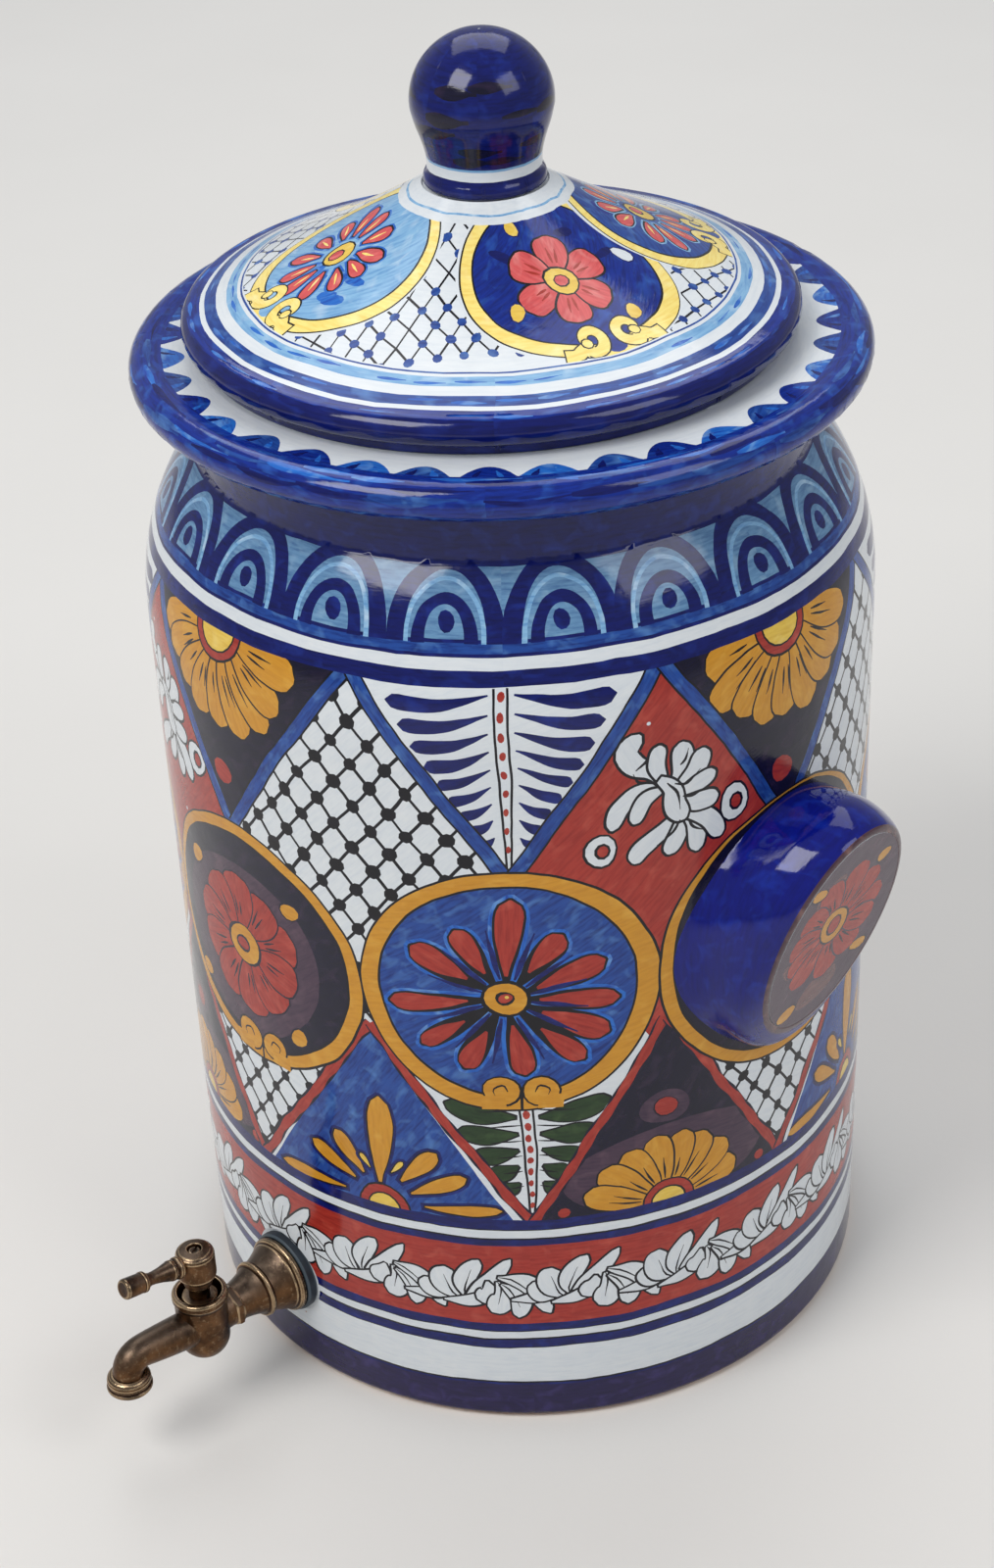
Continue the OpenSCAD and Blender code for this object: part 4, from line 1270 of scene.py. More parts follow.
def streaks(p, count, loose, stroke, names, *widths):
    """Loose brush strokes all round, each drawn by stroke(x) as points from x."""
    for k in range(count):
        line = stroke(p.span * (k / count - 0.5) + rng.uniform(-loose, loose))
        poly = tapered(line, rng.uniform(*widths), 9)
        p.fill(poly, rng.choice(names), brush=along(line[0], line[-1]))


def roll_streak(x):
    y = rng.uniform(24, 33)
    return [(x, y), (x + 9, y + rng.uniform(-1, 1)), (x + rng.uniform(16, 30), y)]


def edge_streak(x):
    return [(x, 22.6), (x + 12, 22.0 + rng.uniform(-1.5, 1.5)), (x + 26, 22.8)]


def brim_painting(count=36):
    """Blue waves lapping in over the white top, and a dark roll with bright streaks."""
    p = Painting(0.45, BRIM_R)
    p.band(-3, 80, "white")
    pitch = p.span / count
    top = 35.4                   # way along at which the roll ends and the flat top begins
    for k in range(count):
        x = -p.span / 2 + (k + 0.5) * pitch + rng.uniform(-0.7, 0.7)
        half = pitch / 2 * rng.uniform(1.0, 1.07)
        rise = 10.2 * rng.uniform(0.88, 1.12)
        wave = [(x + half * u, top - 2 + rise * (1 - u * u)) for u in [1 - j / 6 for j in range(13)]]
        wave += [(x - half, top - 5), (x + half, top - 5)]
        shape = p.fill(wave, ("blue", "cobalt", "azure")[k % 3], brush=(x, top, rng.uniform(-0.5, 0.5)))
        for s, name in ((-0.5, "navy"), (0.45, "azure")):
            line = [(x + s * half, top - 1), (x + s * half * 0.5, top + rise * 0.5)]
            p.fill(tapered(line, rng.uniform(1.6, 2.8), 6), name, shape)
    p.bands((-3, 23.5, "navy"), (12.0, 23.5, "cobalt"), (23.0, top + 0.3, "cobalt"))
    streaks(p, 60, 4, roll_streak, ("azure", "azure", "blue", "navy"), 1.2, 3.2)
    streaks(p, 30, 6, edge_streak, ("blue", "navy"), 1.5, 4)
    return p


def even_rows(table, step):
    """Ways along a profile in even steps, with its end as the last."""
    end = table[-1][0]
    return [step * k for k in range(int(end / step))] + [end]


quarter_skins("brim_glaze", brim_painting(), even_rows(BRIM, 2.8), turned_surface(BRIM, BRIM_R),
              "pot", "pot_body", 24)


def sunk(table, depth):
    """The same line, moved into the clay by depth."""
    out = []
    for k, (_, r, z) in enumerate(table):
        a, b = table[max(k - 1, 0)], table[min(k + 1, len(table) - 1)]
        d = Vector((b[1] - a[1], b[2] - a[2])).normalized()
        out.append((r - depth * d.y, z + depth * d.x))
    return out


def along_front(y, z):
    """Local z points out of the pot at the tap, from distance y and height z, in mm."""
    return Matrix.Translation((0, -y, z)) @ Matrix.Rotation(math.pi / 2, 4, "X")


def plug(r, h, place, n=48):
    """A round cutter."""
    tool = Solid()
    tool.lathe([(0, 0), (r, 0), (r, h), (0, h)], place, n)
    return tool.object("cutter", [])


# thickness of the washers and the nut that clamp the tap, and how far each lies from the pot's axis
OUTER_T, INNER_T, BACKING_T, LOCK_T = 4.2, 3.0, 1.5, 7.0
FLANGE_Y = SEAT_Y + OUTER_T
PAD_Y = 124.53                   # where the wall's thickened inside ends, at the tap
INNER_Y = PAD_Y - INNER_T
BACKING_Y = INNER_Y - BACKING_T
LOCK_Y = BACKING_Y - LOCK_T


def pot_clay():
    """The clay under the skins, with its foot and white inside, and the tap's seat and hole."""
    outer = sunk(OUTSIDE, CLAY_IN)[1:] + sunk(BRIM, CLAY_IN)[1:-1]
    inside = [(99.9, 394.8), (99.5, 394.7), (101.5, 391), (103.5, 385.6), (103.5, 366)]
    inside += [(103.5 + 24.5 * max(math.cos(u), 0) ** 1.8, 305 + 58 * math.sin(u))
               for u in [math.pi / 2 * (1 - k / 24) for k in range(25)]]
    inside += [(128 - 0.03 * k, 290 - 13 * k) for k in range(1, 15)] + [(127, 95), (126.5, 60)]
    inside += arc(112, 24, 14, range(0, -91, -9)) + [(60, 10.2), (0, 10)]
    base = [(0, 0.6), (118, 0.6), (120, 0), (129.4, 0)]
    split = len(base) + len(outer)
    body = Solid()
    body.lathe(base + outer + inside, n=128, mat=lambda k: 1 if k >= split - 1 else 0)
    obj = body.object("pot_clay", [CLAY, GLAZES["white"]], 40)
    cut_away(obj, [plug(SEAT_R + 1.6, 9, along_front(SEAT_Y - 0.6, TAP_Z)),
                   plug(HOLE_R, 60, along_front(100, TAP_Z))])
    return obj


def washer_pad():
    """The flat pad on the wall's inside that the inner washer presses on."""
    pad = Solid()
    profile = [(HOLE_R, 0), (SEAT_R - 0.6, 0), (SEAT_R, 0.8), (SEAT_R + 1.5, 3.2), (HOLE_R, 3.2)]
    pad.lathe(softened(profile, 0.3)[1:], along_front(PAD_Y, TAP_Z), 64, around=True)
    return pad.object("washer_pad", [GLAZES["white"]])


dress(pot_clay(), "pot", "pot_body")
dress(washer_pad(), "pot", "pot_body")

# ------------------------------------------------------------ the lid

LID_R = 70.0                     # radius the lid is unrolled at
LID_AT = Vector((-2.0, -2.2, 0))
PLAN_TURN = math.radians(48)     # azimuth of the plan painting's x axis
LID_EDGE, LID_FOOT = 412.0, 457.95       # heights of the edge roll's middle and of the knob's foot
MEDALLION_OUT = 53.5             # how far the medallions lie from the lid's middle


def dome_z(r):
    """Height of the dome at a radius."""
    t = (105 - r) / 82
    return LID_EDGE + 4.95 + 41 * t - 2.5 * math.sin(math.pi * t)


def lid_outside():
    """(way in, radius, height), from the lid's foot on the brim up to the knob."""
    pts = [(104.1, 402.7, 126.0), (105, 404.2, 124.4)]
    pts += [(105 + 5.5 * math.cos(a), LID_EDGE + 5.5 * math.sin(a), 105.6 + 5.5 * (math.radians(84) - a))
            for a in [math.radians(d) for d in range(-88, 85, 8)]]
    pts += [(r, dome_z(r), r) for r in [104 - 3 * k for k in range(28)]]
    return [(-way, r, z) for r, z, way in pts]


LID = lid_outside()


def flower_of_drops(p, cx, cy, turn, under):
    """Twelve rose drops round a yellow eye, over a paler stroke each."""
    for j in range(12):
        b = turn + TAU * (j + rng.uniform(-0.12, 0.12)) / 12
        ray = [polar(cx, cy, 8.5, b), polar(cx, cy, rng.uniform(19, 24), b)]
        p.halo(drop(ray, 5.0, 0.68), 1.3, under)
        p.inked(drop(ray, rng.uniform(4.4, 5.6), 0.68), "rose", 0.6, brush=along(*ray))
        p.fill(tapered([polar(cx, cy, 11, b), polar(cx, cy, 17, b)], 0.9, 5), "cream")
    p.inked(oval(cx, cy, 5.4, 4.9, 0, 14, 0.04), "lemon", 0.7)
    p.inked(oval(cx - 1, cy, 2.4, 2.2, 0, 9, 0.05), "rose", 0.5)


def flower_of_petals(p, cx, cy, turn, at):
    """Six broad rose petals round a yellow eye, with dots round them placed by at(u, v)."""
    for j in range(6):
        b = turn + 0.3 + TAU * j / 6
        ray = [polar(cx, cy, 4, b), polar(cx, cy, rng.uniform(16.5, 18.5), b)]
        p.inked(petal(ray, 11.5), "rose", 0.7, brush=along(*ray))
    for j in range(6):
        flower_strokes(p, cx, cy, turn + 0.3 + TAU * j / 6, 7, 12.5, 1.3, "red", w=1.1)
    p.inked(oval(cx, cy, 5.6, 5.0, 0, 14, 0.04), "lemon", 0.7)
    p.inked(oval(cx, cy, 2.4, 2.0, 0.4, 9, 0.05), "rose", 0.5)
    for u, v, r, name in ((-25, -5, 3.6, "white"), (-14, 19, 3.4, "lemon"), (9, -22, 3.0, "lemon"),
                          (24, 6, 3.4, "lemon")):
        p.inked(oval(*at(u, v), r, r * 0.75, rng.uniform(0, 3), 11, 0.1), name, 0.5, "navy")


def lid_medallion(p, deg, ground, kind):
    """A flower in a pale yellow ring, with its two scrolls at the lid's edge."""
    a = math.radians(deg)
    turn = a - math.pi / 2
    mx, my = polar(0, 0, MEDALLION_OUT, a)

    def at(u, v):
        return (mx + u * math.cos(turn) - v * math.sin(turn),
                my + u * math.sin(turn) + v * math.cos(turn))

    p.fill(oval(mx, my, 39.2, 35.2, turn), "white")
    p.inked(oval(mx, my, 37.6, 33.6, turn, 0, 0.01), "cream", 0.5, brush=(mx, my, turn))
    p.inked(oval(*at(0, -0.8), 32.4, 28.4, turn, 0, 0.012), ground, 0.7, brush=(mx, my, turn + 0.6))
    for j in range(9):                # cloudy patches on the ground
        q = at(rng.uniform(-26, 26) * 0.8, rng.uniform(-22, 20) * 0.8)
        patch = oval(*q, rng.uniform(2.5, 6), rng.uniform(1.5, 3.5), rng.uniform(0, 3), 0, 0.1)
        dark = rng.choice(("navy", "navy", "blue"))
        p.fill(patch, {"cobalt": dark, "sky": "azure"}.get(ground, "cobalt"))
    cx, cy = at(3.5, 1.0)
    if kind == "drops":
        flower_of_drops(p, cx, cy, turn, "azure" if ground == "sky" else "sky")
    else:
        flower_of_petals(p, cx, cy, turn, at)
    # the ring's gap at the lid's edge, and its two ends
    p.fill(oval(*at(0, 29.0), 4.4, 3.6, turn, 14), ground)
    for s in (-1, 1):
        curl = [at(s * (19 - 1.0 * k), 28.6 - 0.05 * k * k + 2.4 * math.sin(k * 0.2)) for k in range(0, 9, 4)]
        curl += [at(s * (7.6 + w * math.cos(a)), 25.0 + w * math.sin(a))
                 for a, w in [(math.radians(70 + 40 * k), 5.6 - 0.42 * k) for k in range(9)]]
        p.inked(ribbon(curl, lambda t: 2.3 - 0.9 * t, 30), "cream", 0.55, brush=(*curl[3], turn))
        p.inked(oval(*curl[-1], 1.9, 1.7, 0, 9), "cream", 0.5)


def lid_lattice(p, centres, cell=9.2):
    """Crossed lines between the medallions, with a dot at most crossings."""
    nodes = {}
    for j in range(-12, 13):
        for i in range(-11, 12):
            x = (i + 0.5 * (j % 2)) * cell + rng.uniform(-0.5, 0.5)
            q = (x, j * cell * 0.72 + rng.uniform(-0.4, 0.4))
            if math.hypot(*q) < 93 and min(math.dist(q, c) for c in centres) > 31:
                nodes[i, j] = q
    for a, others in joined(nodes):
        if math.hypot(*a) < 30:
            continue
        for b in others:
            p.fill(line_of([a, b], 0.75 * rng.uniform(0.8, 1.2), 2), "ink", step=9)
        if rng.random() < 0.85:
            p.fill(oval(*a, 1.9 * rng.uniform(0.85, 1.15), 1.7, rng.uniform(0, 3), 9), "blue")


def lid_painting():
    """Four medallions in a lattice, seen from above, and the bands round them."""
    p = Painting(0.5, LID_R, plan=True)
    p.band(-130, -15, "white")
    medallions = [(202, "sky", "drops"), (300, "cobalt", "petals"), (14, "blue", "drops"),
                  (110, "cobalt", "petals")]
    lid_lattice(p, [polar(0, 0, MEDALLION_OUT, math.radians(deg)) for deg, _, _ in medallions])
    for medallion in medallions:
        lid_medallion(p, *medallion)
    p.bands((-30.5, -15, "white"), (-27.6, -26.8, "sky"), (-89.2, -86.6, "white"), (-87.8, -87.1, "blue"),
            (-93.2, -89.0, "sky"), (-97.2, -93.0, "white"), (-101.4, -97.0, "blue"),
            (-103.2, -101.2, "white"), (-109, -103.0, "cobalt"), (-130, -108.0, "navy"))
    count = 44
    for k in range(count):           # loose strokes along the blue bands
        x = p.span * (k / count - 0.5)
        for y, name, w in ((-99.2, "azure", 1.6), (-91.2, "azure", 1.3), (-106, "azure", 1.8),
                           (-109, "navy", 2.4)):
            if rng.random() < 0.6:
                y += rng.uniform(-0.9, 0.9)
                stroke = [(x, y), (x + 8, y + rng.uniform(-0.5, 0.5))]
                p.fill(tapered(stroke, w * rng.uniform(0.5, 1.1), 6), name, brush=(x, y, 0.0), flat=True)
    return p


lid_rows = [-125.8, -124.4] + [-122 + 2.6 * k for k in range(38)] + [-22.4]
quarter_skins("lid_glaze", lid_painting(), lid_rows, turned_surface(LID, LID_R, PLAN_TURN, LID_AT),
              "lid", "lid", 30)


def lid_clay():
    """The clay under the lid's skin, with the locating ring, the hollow and the knob's hole."""
    ring = 94.5
    dome_end = 85.5
    under = [(ring - 7, 392.1), (ring - 5.5, 390.6), (ring - 1.5, 390.6), (ring, 392.1),
             (ring, 403.8), (ring + 3, 403.8), (ring + 3.6, 402.6), (103.6, 402.6)]
    over = sunk(LID, CLAY_IN)[1:]
    hole = [(22.2, LID_FOOT - 0.6), (9.1, LID_FOOT - 0.6), (9.1, LID_FOOT - 6), (22, LID_FOOT - 6)]
    inner = [(r, dome_z(r) - 6) for r in [*(24 + 5.1 * k for k in range(12)), dome_end]]
    profile = softened([*under, *over, *hole, *inner, (87.1, dome_z(dome_end) - 8)], 0.7)
    body = Solid()
    body.lathe(profile, Matrix.Translation(LID_AT), 128, around=True)
    return body.object("lid_clay", [GLAZES["white"]], 40)


dress(lid_clay(), "lid", "lid")

KNOB_R = 22.0                    # radius the knob is unrolled at


def knob_outside():
    """(way along, radius, height) over the knob, from its foot ring to the top."""
    ball, tall = 25.2, 0.97      # the ball's radius, and how much flatter than round it is
    middle = LID_FOOT + 53.5 - ball * tall
    pts = [(r, LID_FOOT + up) for r, up in (
        (20.6, 0.02), (21.2, 0.35), (21.6, 1.1), (21.6, 2.6), (21.5, 3.7), (21.0, 4.5), (20.5, 5.2),
        (20.2, 6.2), (20.2, 8), (20.25, 10), (20.7, 12.4), (21.4, 15), (22.3, 17.8), (23.3, 20.6),
        (24.1, 23.2), (24.7, 25.8), (25.1, 27.6))]
    pts += [(ball * math.cos(a), middle + ball * tall * math.sin(a))
            for a in map(math.radians, range(2, 86, 4))]
    return way_along([*pts, (0.4, LID_FOOT + 53.4)])


KNOB = knob_outside()


def knob_painting(count=30):
    """Dark blue with plum streaks that stay low on the knob as painted shade, and a white line above the foot
    ring.
    """
    p = Painting(0.4, KNOB_R)
    p.band(-2, 80, "navy")
    for k in range(count):
        x = p.span * (k / count - 0.5) + rng.uniform(-2, 2)
        # painted shade: the dark streaks stay on the lower part, so that the knob is darker below
        y = rng.uniform(12, 46)
        streak = [(x, y), (x + 7, y + rng.uniform(-1, 1)), (x + 15, y)]
        p.fill(tapered(streak, rng.uniform(2.0, 6.0), 8), "dusk", brush=along(streak[0], streak[-1]))
    p.bands((7.2, 11.6, "white"), (11.0, 11.9, "sky"), (-2, 7.4, "navy"))
    return p


def knob_skin(columns=72):
    xs = [KNOB_R * (TAU * k / columns - math.pi) for k in range(columns + 1)]
    return painted_skin("knob_glaze", knob_painting(), *panel(xs, even_rows(KNOB, 1.6)),
                        turned_surface(KNOB, KNOB_R, middle=LID_AT))


def knob_clay():
    """The knob's clay, with the stub that goes through the lid."""
    stub = [(0, -7.5), (8.4, -7.5), (9, -6.9), (9, -0.3), (20.4, -0.1)]
    foot = softened([(r, LID_FOOT + up) for r, up in stub], 0.4)[:-1]
    ball = [(r, z, 0) for r, z in sunk(KNOB, 0.65)[1:-1]]
    body = Solid()
    body.lathe([*foot, *ball, (0, KNOB[-1][2] - 0.5, 0)], Matrix.Translation(LID_AT), 72)
    return body.object("knob_clay", [GLAZES["navy"]])


dress(knob_skin(), "lid", "lid_knob")
dress(knob_clay(), "lid", "lid_knob")

# ------------------------------------------------------------ side handles

# A side handle is called a lug here. Its sections count out from the wall, and its root goes
# half a millimetre into it.
LUG_AT, LUG_ROOT = 135.4, 134.9
# (out, height, lean in degrees, half length, half width), from the wall out to the face
LUG = [(-12, 207.6, 0, 52.4, 53), (-8, 207.8, 0, 52.6, 49.4), (-5, 207.9, 0, 52.8, 46.8),
       (-1, 208, 1, 53.2, 44.6), (3, 208.4, 3, 54.0, 43.4), (7, 208.9, 5.5, 54.6, 42.4),
       (11, 209.4, 8.5, 54.9, 41.2), (14.5, 209.8, 11, 54.2, 39.7), (17.5, 210.2, 13.5, 52.9, 37.7),
       (19.6, 210.4, 15.2, 51.6, 36.1), (21, 210.5, 16.2, 50.1, 34.5), (21.55, 210.5, 16.5, 47.9, 32.5)]


def lug_ring(section, n=72):
    """The loop of one section, counterclockwise seen from outside, and no deeper than the root."""
    out, z, lean, half_l, half_w = section
    lean = math.radians(lean)
    loop = []
    for j in range(n):
        a = TAU * j / n
        w, v = half_w * math.cos(a), half_l * math.sin(a)
        x = LUG_AT + out + v * math.sin(lean)
        x = max(x, math.sqrt(max(LUG_ROOT ** 2 - w * w, 1)))
        loop.append((x, w, z + v * math.cos(lean)))
    return loop


def between(t):
    """A section of the handle at a whole or part number, smoothed."""
    k = min(int(t), len(LUG) - 2)
    near = [LUG[min(max(k + i, 0), len(LUG) - 1)] for i in (-1, 0, 1, 2)]
    return tuple(eased(*values, t - k) for values in zip(*near))


def lug_face(turn):
    """Where a point of the face's painting lies; the face is very slightly hollow."""
    out, z, lean, half_l, half_w = LUG[-1]
    lean = math.radians(lean)
    rot = Matrix.Rotation(turn, 3, "Z")

    def place(x, y):
        hollow = 0.5 * max(0.0, 1 - (x / half_w) ** 2 - (y / half_l) ** 2)
        q = Vector((LUG_AT + out + y * math.sin(lean) - hollow * math.cos(lean), x,
                    z + y * math.cos(lean) + hollow * math.sin(lean)))
        return rot @ q * MM, rot @ Vector((math.cos(lean), 0, -math.sin(lean)))
    return place


def lug_painting():
    """A red flower with eleven petals on plum, with paler patches: the plum ground and the patches are partly
    painted reflection of what lies below the glossy face. The face is flat, so it is unrolled far out.
    """
    p = Painting(0.4, 400.0)
    p.fill(oval(0, 0, 40, 55, 0, 60), "plum", brush=(0, 0, 1.2))
    # paler patches: painted reflection on the glossy face
    for x, y, r in ((2, -31, 12), (-12, 26, 9), (16, 14, 7), (-20, -8, 7)):
        p.fill(oval(x, y, r, r * 0.6, rng.uniform(0, 3), 24, 0.08), "umber_reflection", brush=(x, y, 0.3))
    cx, cy, count = -1.0, 4.0, 11
    for j in range(count):
        a = 0.25 + TAU * j / count + rng.uniform(-0.05, 0.05)
        reach = 1 / math.hypot(math.cos(a) / 25.5, math.sin(a) / 31)
        q0, q1 = polar(cx, cy, 7, a), polar(cx, cy, reach * rng.uniform(0.93, 1.05), a)
        p.inked(petal([q0, q1], 13.0), "red", 0.8, "plum", brush=along(q0, q1))
        flower_strokes(p, cx, cy, a, 11, 19, 1.4, "dusk")
    p.inked(oval(cx, cy, 7.0, 9.2, 0.3, 18, 0.04), "ochre", 0.9, "dusk")
    p.inked(oval(cx, cy, 3.2, 4.6, 0.3, 12, 0.05), "red", 0.8, "dusk")
    for x, y, r in ((-19, 30, 4.4), (17, 30, 4.0), (22, -20, 4.4), (-14, -36, 5.2)):
        p.inked(oval(x, y, r, r * 0.7, rng.uniform(-0.6, 0.6), 11, 0.1), "ochre", 0.7, "dusk")
    return p


def side_handle(node, degrees, steps=44):
    """The handle's clay in one skin, with its rim, and its painted face."""
    turn = math.radians(degrees)
    out, z, lean, half_l, half_w = LUG[-1]
    last = len(LUG) - 1
    loops = [lug_ring(between(last * k / steps)) for k in range(steps)]
    loops += [lug_ring((out - 0.1, z, lean, half_l, half_w)),
              lug_ring((out - 0.7, z, lean, half_l - 1.0, half_w - 1.0))]
    body = Solid()
    # the last steps before the face are its worn rim
    body.rings(loops, Matrix.Rotation(turn, 4, "Z"), mat=lambda k: 1 if k >= steps - 5 else 0)
    dress(body.object(node + "_body", [LUG_NAVY, LUG_RIM], 60), "pot", node)
    edge = oval(0, 0, half_w - 0.5, half_l - 0.5, 0, 80)
    grid = [(x, y) for x in range(-30, 31, 5) for y in range(-45, 46, 5)
            if math.hypot(x / (half_w - 2), y / (half_l - 2)) < 0.97]
    face = painted_skin(node + "_face", lug_painting(), edge, grid, lug_face(turn))
    dress(face, "pot", node)


side_handle("side_handle_right", 3)
side_handle("side_handle_left", 183)

# ------------------------------------------------------------ the tap

CHAMBER_Y = 177.0
CHAMBER = Matrix.Translation((0, -CHAMBER_Y, TAP_Z))
SHANK_END = 110.6                # how far the shank's end lies from the pot's axis
SHANK_R, BORE_R, WASHER_HOLE = 9.25, 5.5, 9.85
FLANGE_R = 15.8
BEND_AT, SPOUT_OUT = 30, 36.5    # how far the spout's bend and its outlet lie from the chamber


def thread_nodes():
    """A screw thread, in mm: a small four-sided wire wound round a cylinder."""
    tree, n, given, result, ids = group("GeometryNodeTree", "screw thread", [
        ("Radius", "Float", 9.0), ("Length", "Float", 20.0), ("Pitch", "Float", 1.5),
        ("Depth", "Float", 0.6), ("Material", "Material", None)], [("Geometry", "Geometry")])
    wind = n.new("GeometryNodeCurveSpiral")
    wind.inputs["Resolution"].default_value = 32
    n.link(n.math("DIVIDE", given["Length"], given["Pitch"]), wind.inputs["Rotations"])
    n.link(given["Radius"], wind.inputs["Start Radius"])
    n.link(given["Radius"], wind.inputs["End Radius"])
    n.link(given["Length"], wind.inputs["Height"])
    wire = n.new("GeometryNodeCurvePrimitiveCircle", mode="RADIUS")
    wire.inputs["Resolution"].default_value = 4
    n.link(given["Depth"], wire.inputs["Radius"])
    sweep = n.new("GeometryNodeCurveToMesh")
    n.link(wind.outputs["Curve"], sweep.inputs["Curve"])
    n.link(wire.outputs["Curve"], sweep.inputs["Profile Curve"])
    sweep.inputs["Fill Caps"].default_value = True
    real = n.new("GeometryNodeRealizeInstances")
    n.link(sweep.outputs["Mesh"], real.inputs[0])
    paint = n.new("GeometryNodeSetMaterial")
    n.link(real.outputs[0], paint.inputs["Geometry"])
    n.link(given["Material"], paint.inputs["Material"])
    n.link(paint.outputs["Geometry"], result[0])
    return tree, ids


THREAD, THREAD_IDS = thread_nodes()


def wound(radius, length, pitch, depth):
    """The thread as a mesh in mm."""
    host = add_object("thread host", bpy.data.meshes.new("thread host"), [])
    mod = host.modifiers.new("thread", "NODES")
    mod.node_group = THREAD
    for label, value in (("Radius", radius), ("Length", length), ("Pitch", pitch), ("Depth", depth),
                         ("Material", BRASS)):
        mod[THREAD_IDS[label]] = value
    mesh = as_shown(host)
    bpy.data.objects.remove(host)
    return mesh


def swept(path, radii, n=32):
    """Loops round a path in the plane x = 0, given as (y, z)."""
    loops = []
    for k, (y, z) in enumerate(path):
        a, b = path[max(k - 1, 0)], path[min(k + 1, len(path) - 1)]
        t = Vector((0, b[0] - a[0], b[1] - a[1])).normalized()
        e1 = Vector((1, 0, 0))
        e2 = t.cross(e1)
        c = Vector((0, y, z))
        loops.append([c + radii[k] * (math.cos(TAU * j / n) * e1 + math.sin(TAU * j / n) * e2)
                      for j in range(n)])
    return loops


def shank(body):
    """The threaded tube through the wall."""
    place = along_front(SHANK_END, TAP_Z)
    length = FLANGE_Y + 1 - SHANK_END
    tube = [(BORE_R, 0), (SHANK_R - 0.65, 0), (SHANK_R, 0.8), (SHANK_R, length), (BORE_R, length)]
    body.lathe(softened(tube, 0.25), place, 48, around=True)
    thread = wound(radius=9.2, length=21, pitch=1.5, depth=0.58)
    body.add_mesh(thread, place @ Matrix.Translation((0, 0, 1.2)), wear=0.5)


def bell(body):
    """The flange and the bell that narrows from it towards the chamber, with its two beads."""
    # how far inside the flange's edge, and how far out from the washer
    steps = ((0.6, 0), (0, 0.6), (0, 2.0), (0.6, 2.7), (1.5, 3.0), (1.6, 3.8), (2.2, 4.8), (3.0, 6.4),
             (3.9, 8.4), (4.6, 10.4), (5.0, 12.1), (4.5, 12.5), (4.0, 13.1), (4.0, 13.7), (4.4, 14.3),
             (5.5, 14.7), (6.2, 16.0), (7.0, 18.2), (7.6, 20.6), (8.0, 22.6), (8.2, 24.4), (8.2, 39.9))
    profile = [(0, 0), *((FLANGE_R - inside, out) for inside, out in steps), (0, 39.9)]
    body.lathe(softened(profile, 0.35), along_front(FLANGE_Y, TAP_Z), 72)


def chamber(body):
    """The round valve chamber with its open cup."""
    r = 10.2
    profile = arc(0, -5, r, [-90 + 7.5 * k for k in range(13)])
    profile[0] = (0, profile[0][1])
    profile += [(r, 0), (r, 6), (r, 12.0), (r + 0.3, 12.8), (r + 0.7, 13.3), (r + 0.7, 15.6), (r + 0.1, 16.4),
                (8.7, 16.5), (8.6, 8.5), (6.5, 8.5), (6.5, -7.8), (0, -7.8)]
    body.lathe(softened(profile, 0.4), CHAMBER, 64)


def spout(body):
    """The spout, narrowing from the chamber and bent down, with its bore at the outlet."""
    path = [(0, 0), (-8, 1.2), (-14, 2.1), (-20, 3.0), (-25, 3.8), (-28, 4.25), (-BEND_AT, 4.45)]
    radii = [7.6, 7.4, 7.2, 6.9, 6.6, 6.35, 6.2] + [6.15] * 5 + [6.1] * 4
    bend = [(-BEND_AT - (SPOUT_OUT - BEND_AT) * math.sin(a), -2 + 6.45 * math.cos(a))
            for a in map(math.radians, range(10, 91, 10))]
    bore = [(-SPOUT_OUT, -2), (-SPOUT_OUT, -1.4), *reversed(bend[5:-1])]
    back = swept(bore[::-1], [3.8] * len(bore))[::-1]
    body.rings([[(0, 0, 0)], *swept(path + bend, radii), *back, [(0, *bore[-1])]], CHAMBER)


def tap_body():
    """The brass casting, from the shank's end to the spout."""
    body = Solid()
    shank(body)
    bell(body)
    grip = along_front(CHAMBER_Y - 15.5, TAP_Z) @ Matrix.Rotation(math.pi / 6, 4, "Z")
    body.nut(flats=7.7, z0=0, z1=4.2, place=grip)
    chamber(body)
    spout(body)
    return body.object("tap_casting", [BRASS], 36)


dress(tap_body(), "pot", "tap_body")


def turned(name, body, node, mat, profile, place, around=False, r=0.3, n=64):
    """A turned piece with its edges rounded, dressed for its solid."""
    piece = Solid()
    piece.lathe(softened(profile, r), place, n, around=around)
    return dress(piece.object(name, [mat]), body, node)


def washer(name, node, mat, r, t, y, bulge=0.0):
    """A washer on the shank, t thick, from distance y outward."""
    hole = WASHER_HOLE
    profile = [(hole, t / 2), (hole, 0), (r - 0.5, 0), (r, 0.5), (r + bulge, t / 2), (r, t - 0.5),
               (r - 0.5, t), (hole, t), (hole, t / 2)]
    turned(name, "pot", node, mat, profile, along_front(y, TAP_Z), True)


washer("outer_rubber_washer", "outer_washer", RUBBER, 16.7, OUTER_T, SEAT_Y, 0.08)
washer("inner_rubber_washer", "inner_washer", RUBBER, 16.7, INNER_T, INNER_Y, 0.08)
washer("backing_brass_washer", "backing_washer", BRASS, 15.8, BACKING_T, BACKING_Y)


def lock_nut():
    """The nut that holds the tap from inside the pot."""
    piece = Solid()
    piece.nut(flats=13.5, z0=0, z1=LOCK_T, place=along_front(LOCK_Y, TAP_Z), bore=WASHER_HOLE)
    dress(piece.object("lock_nut_hex", [BRASS], 30), "pot", "lock_nut")


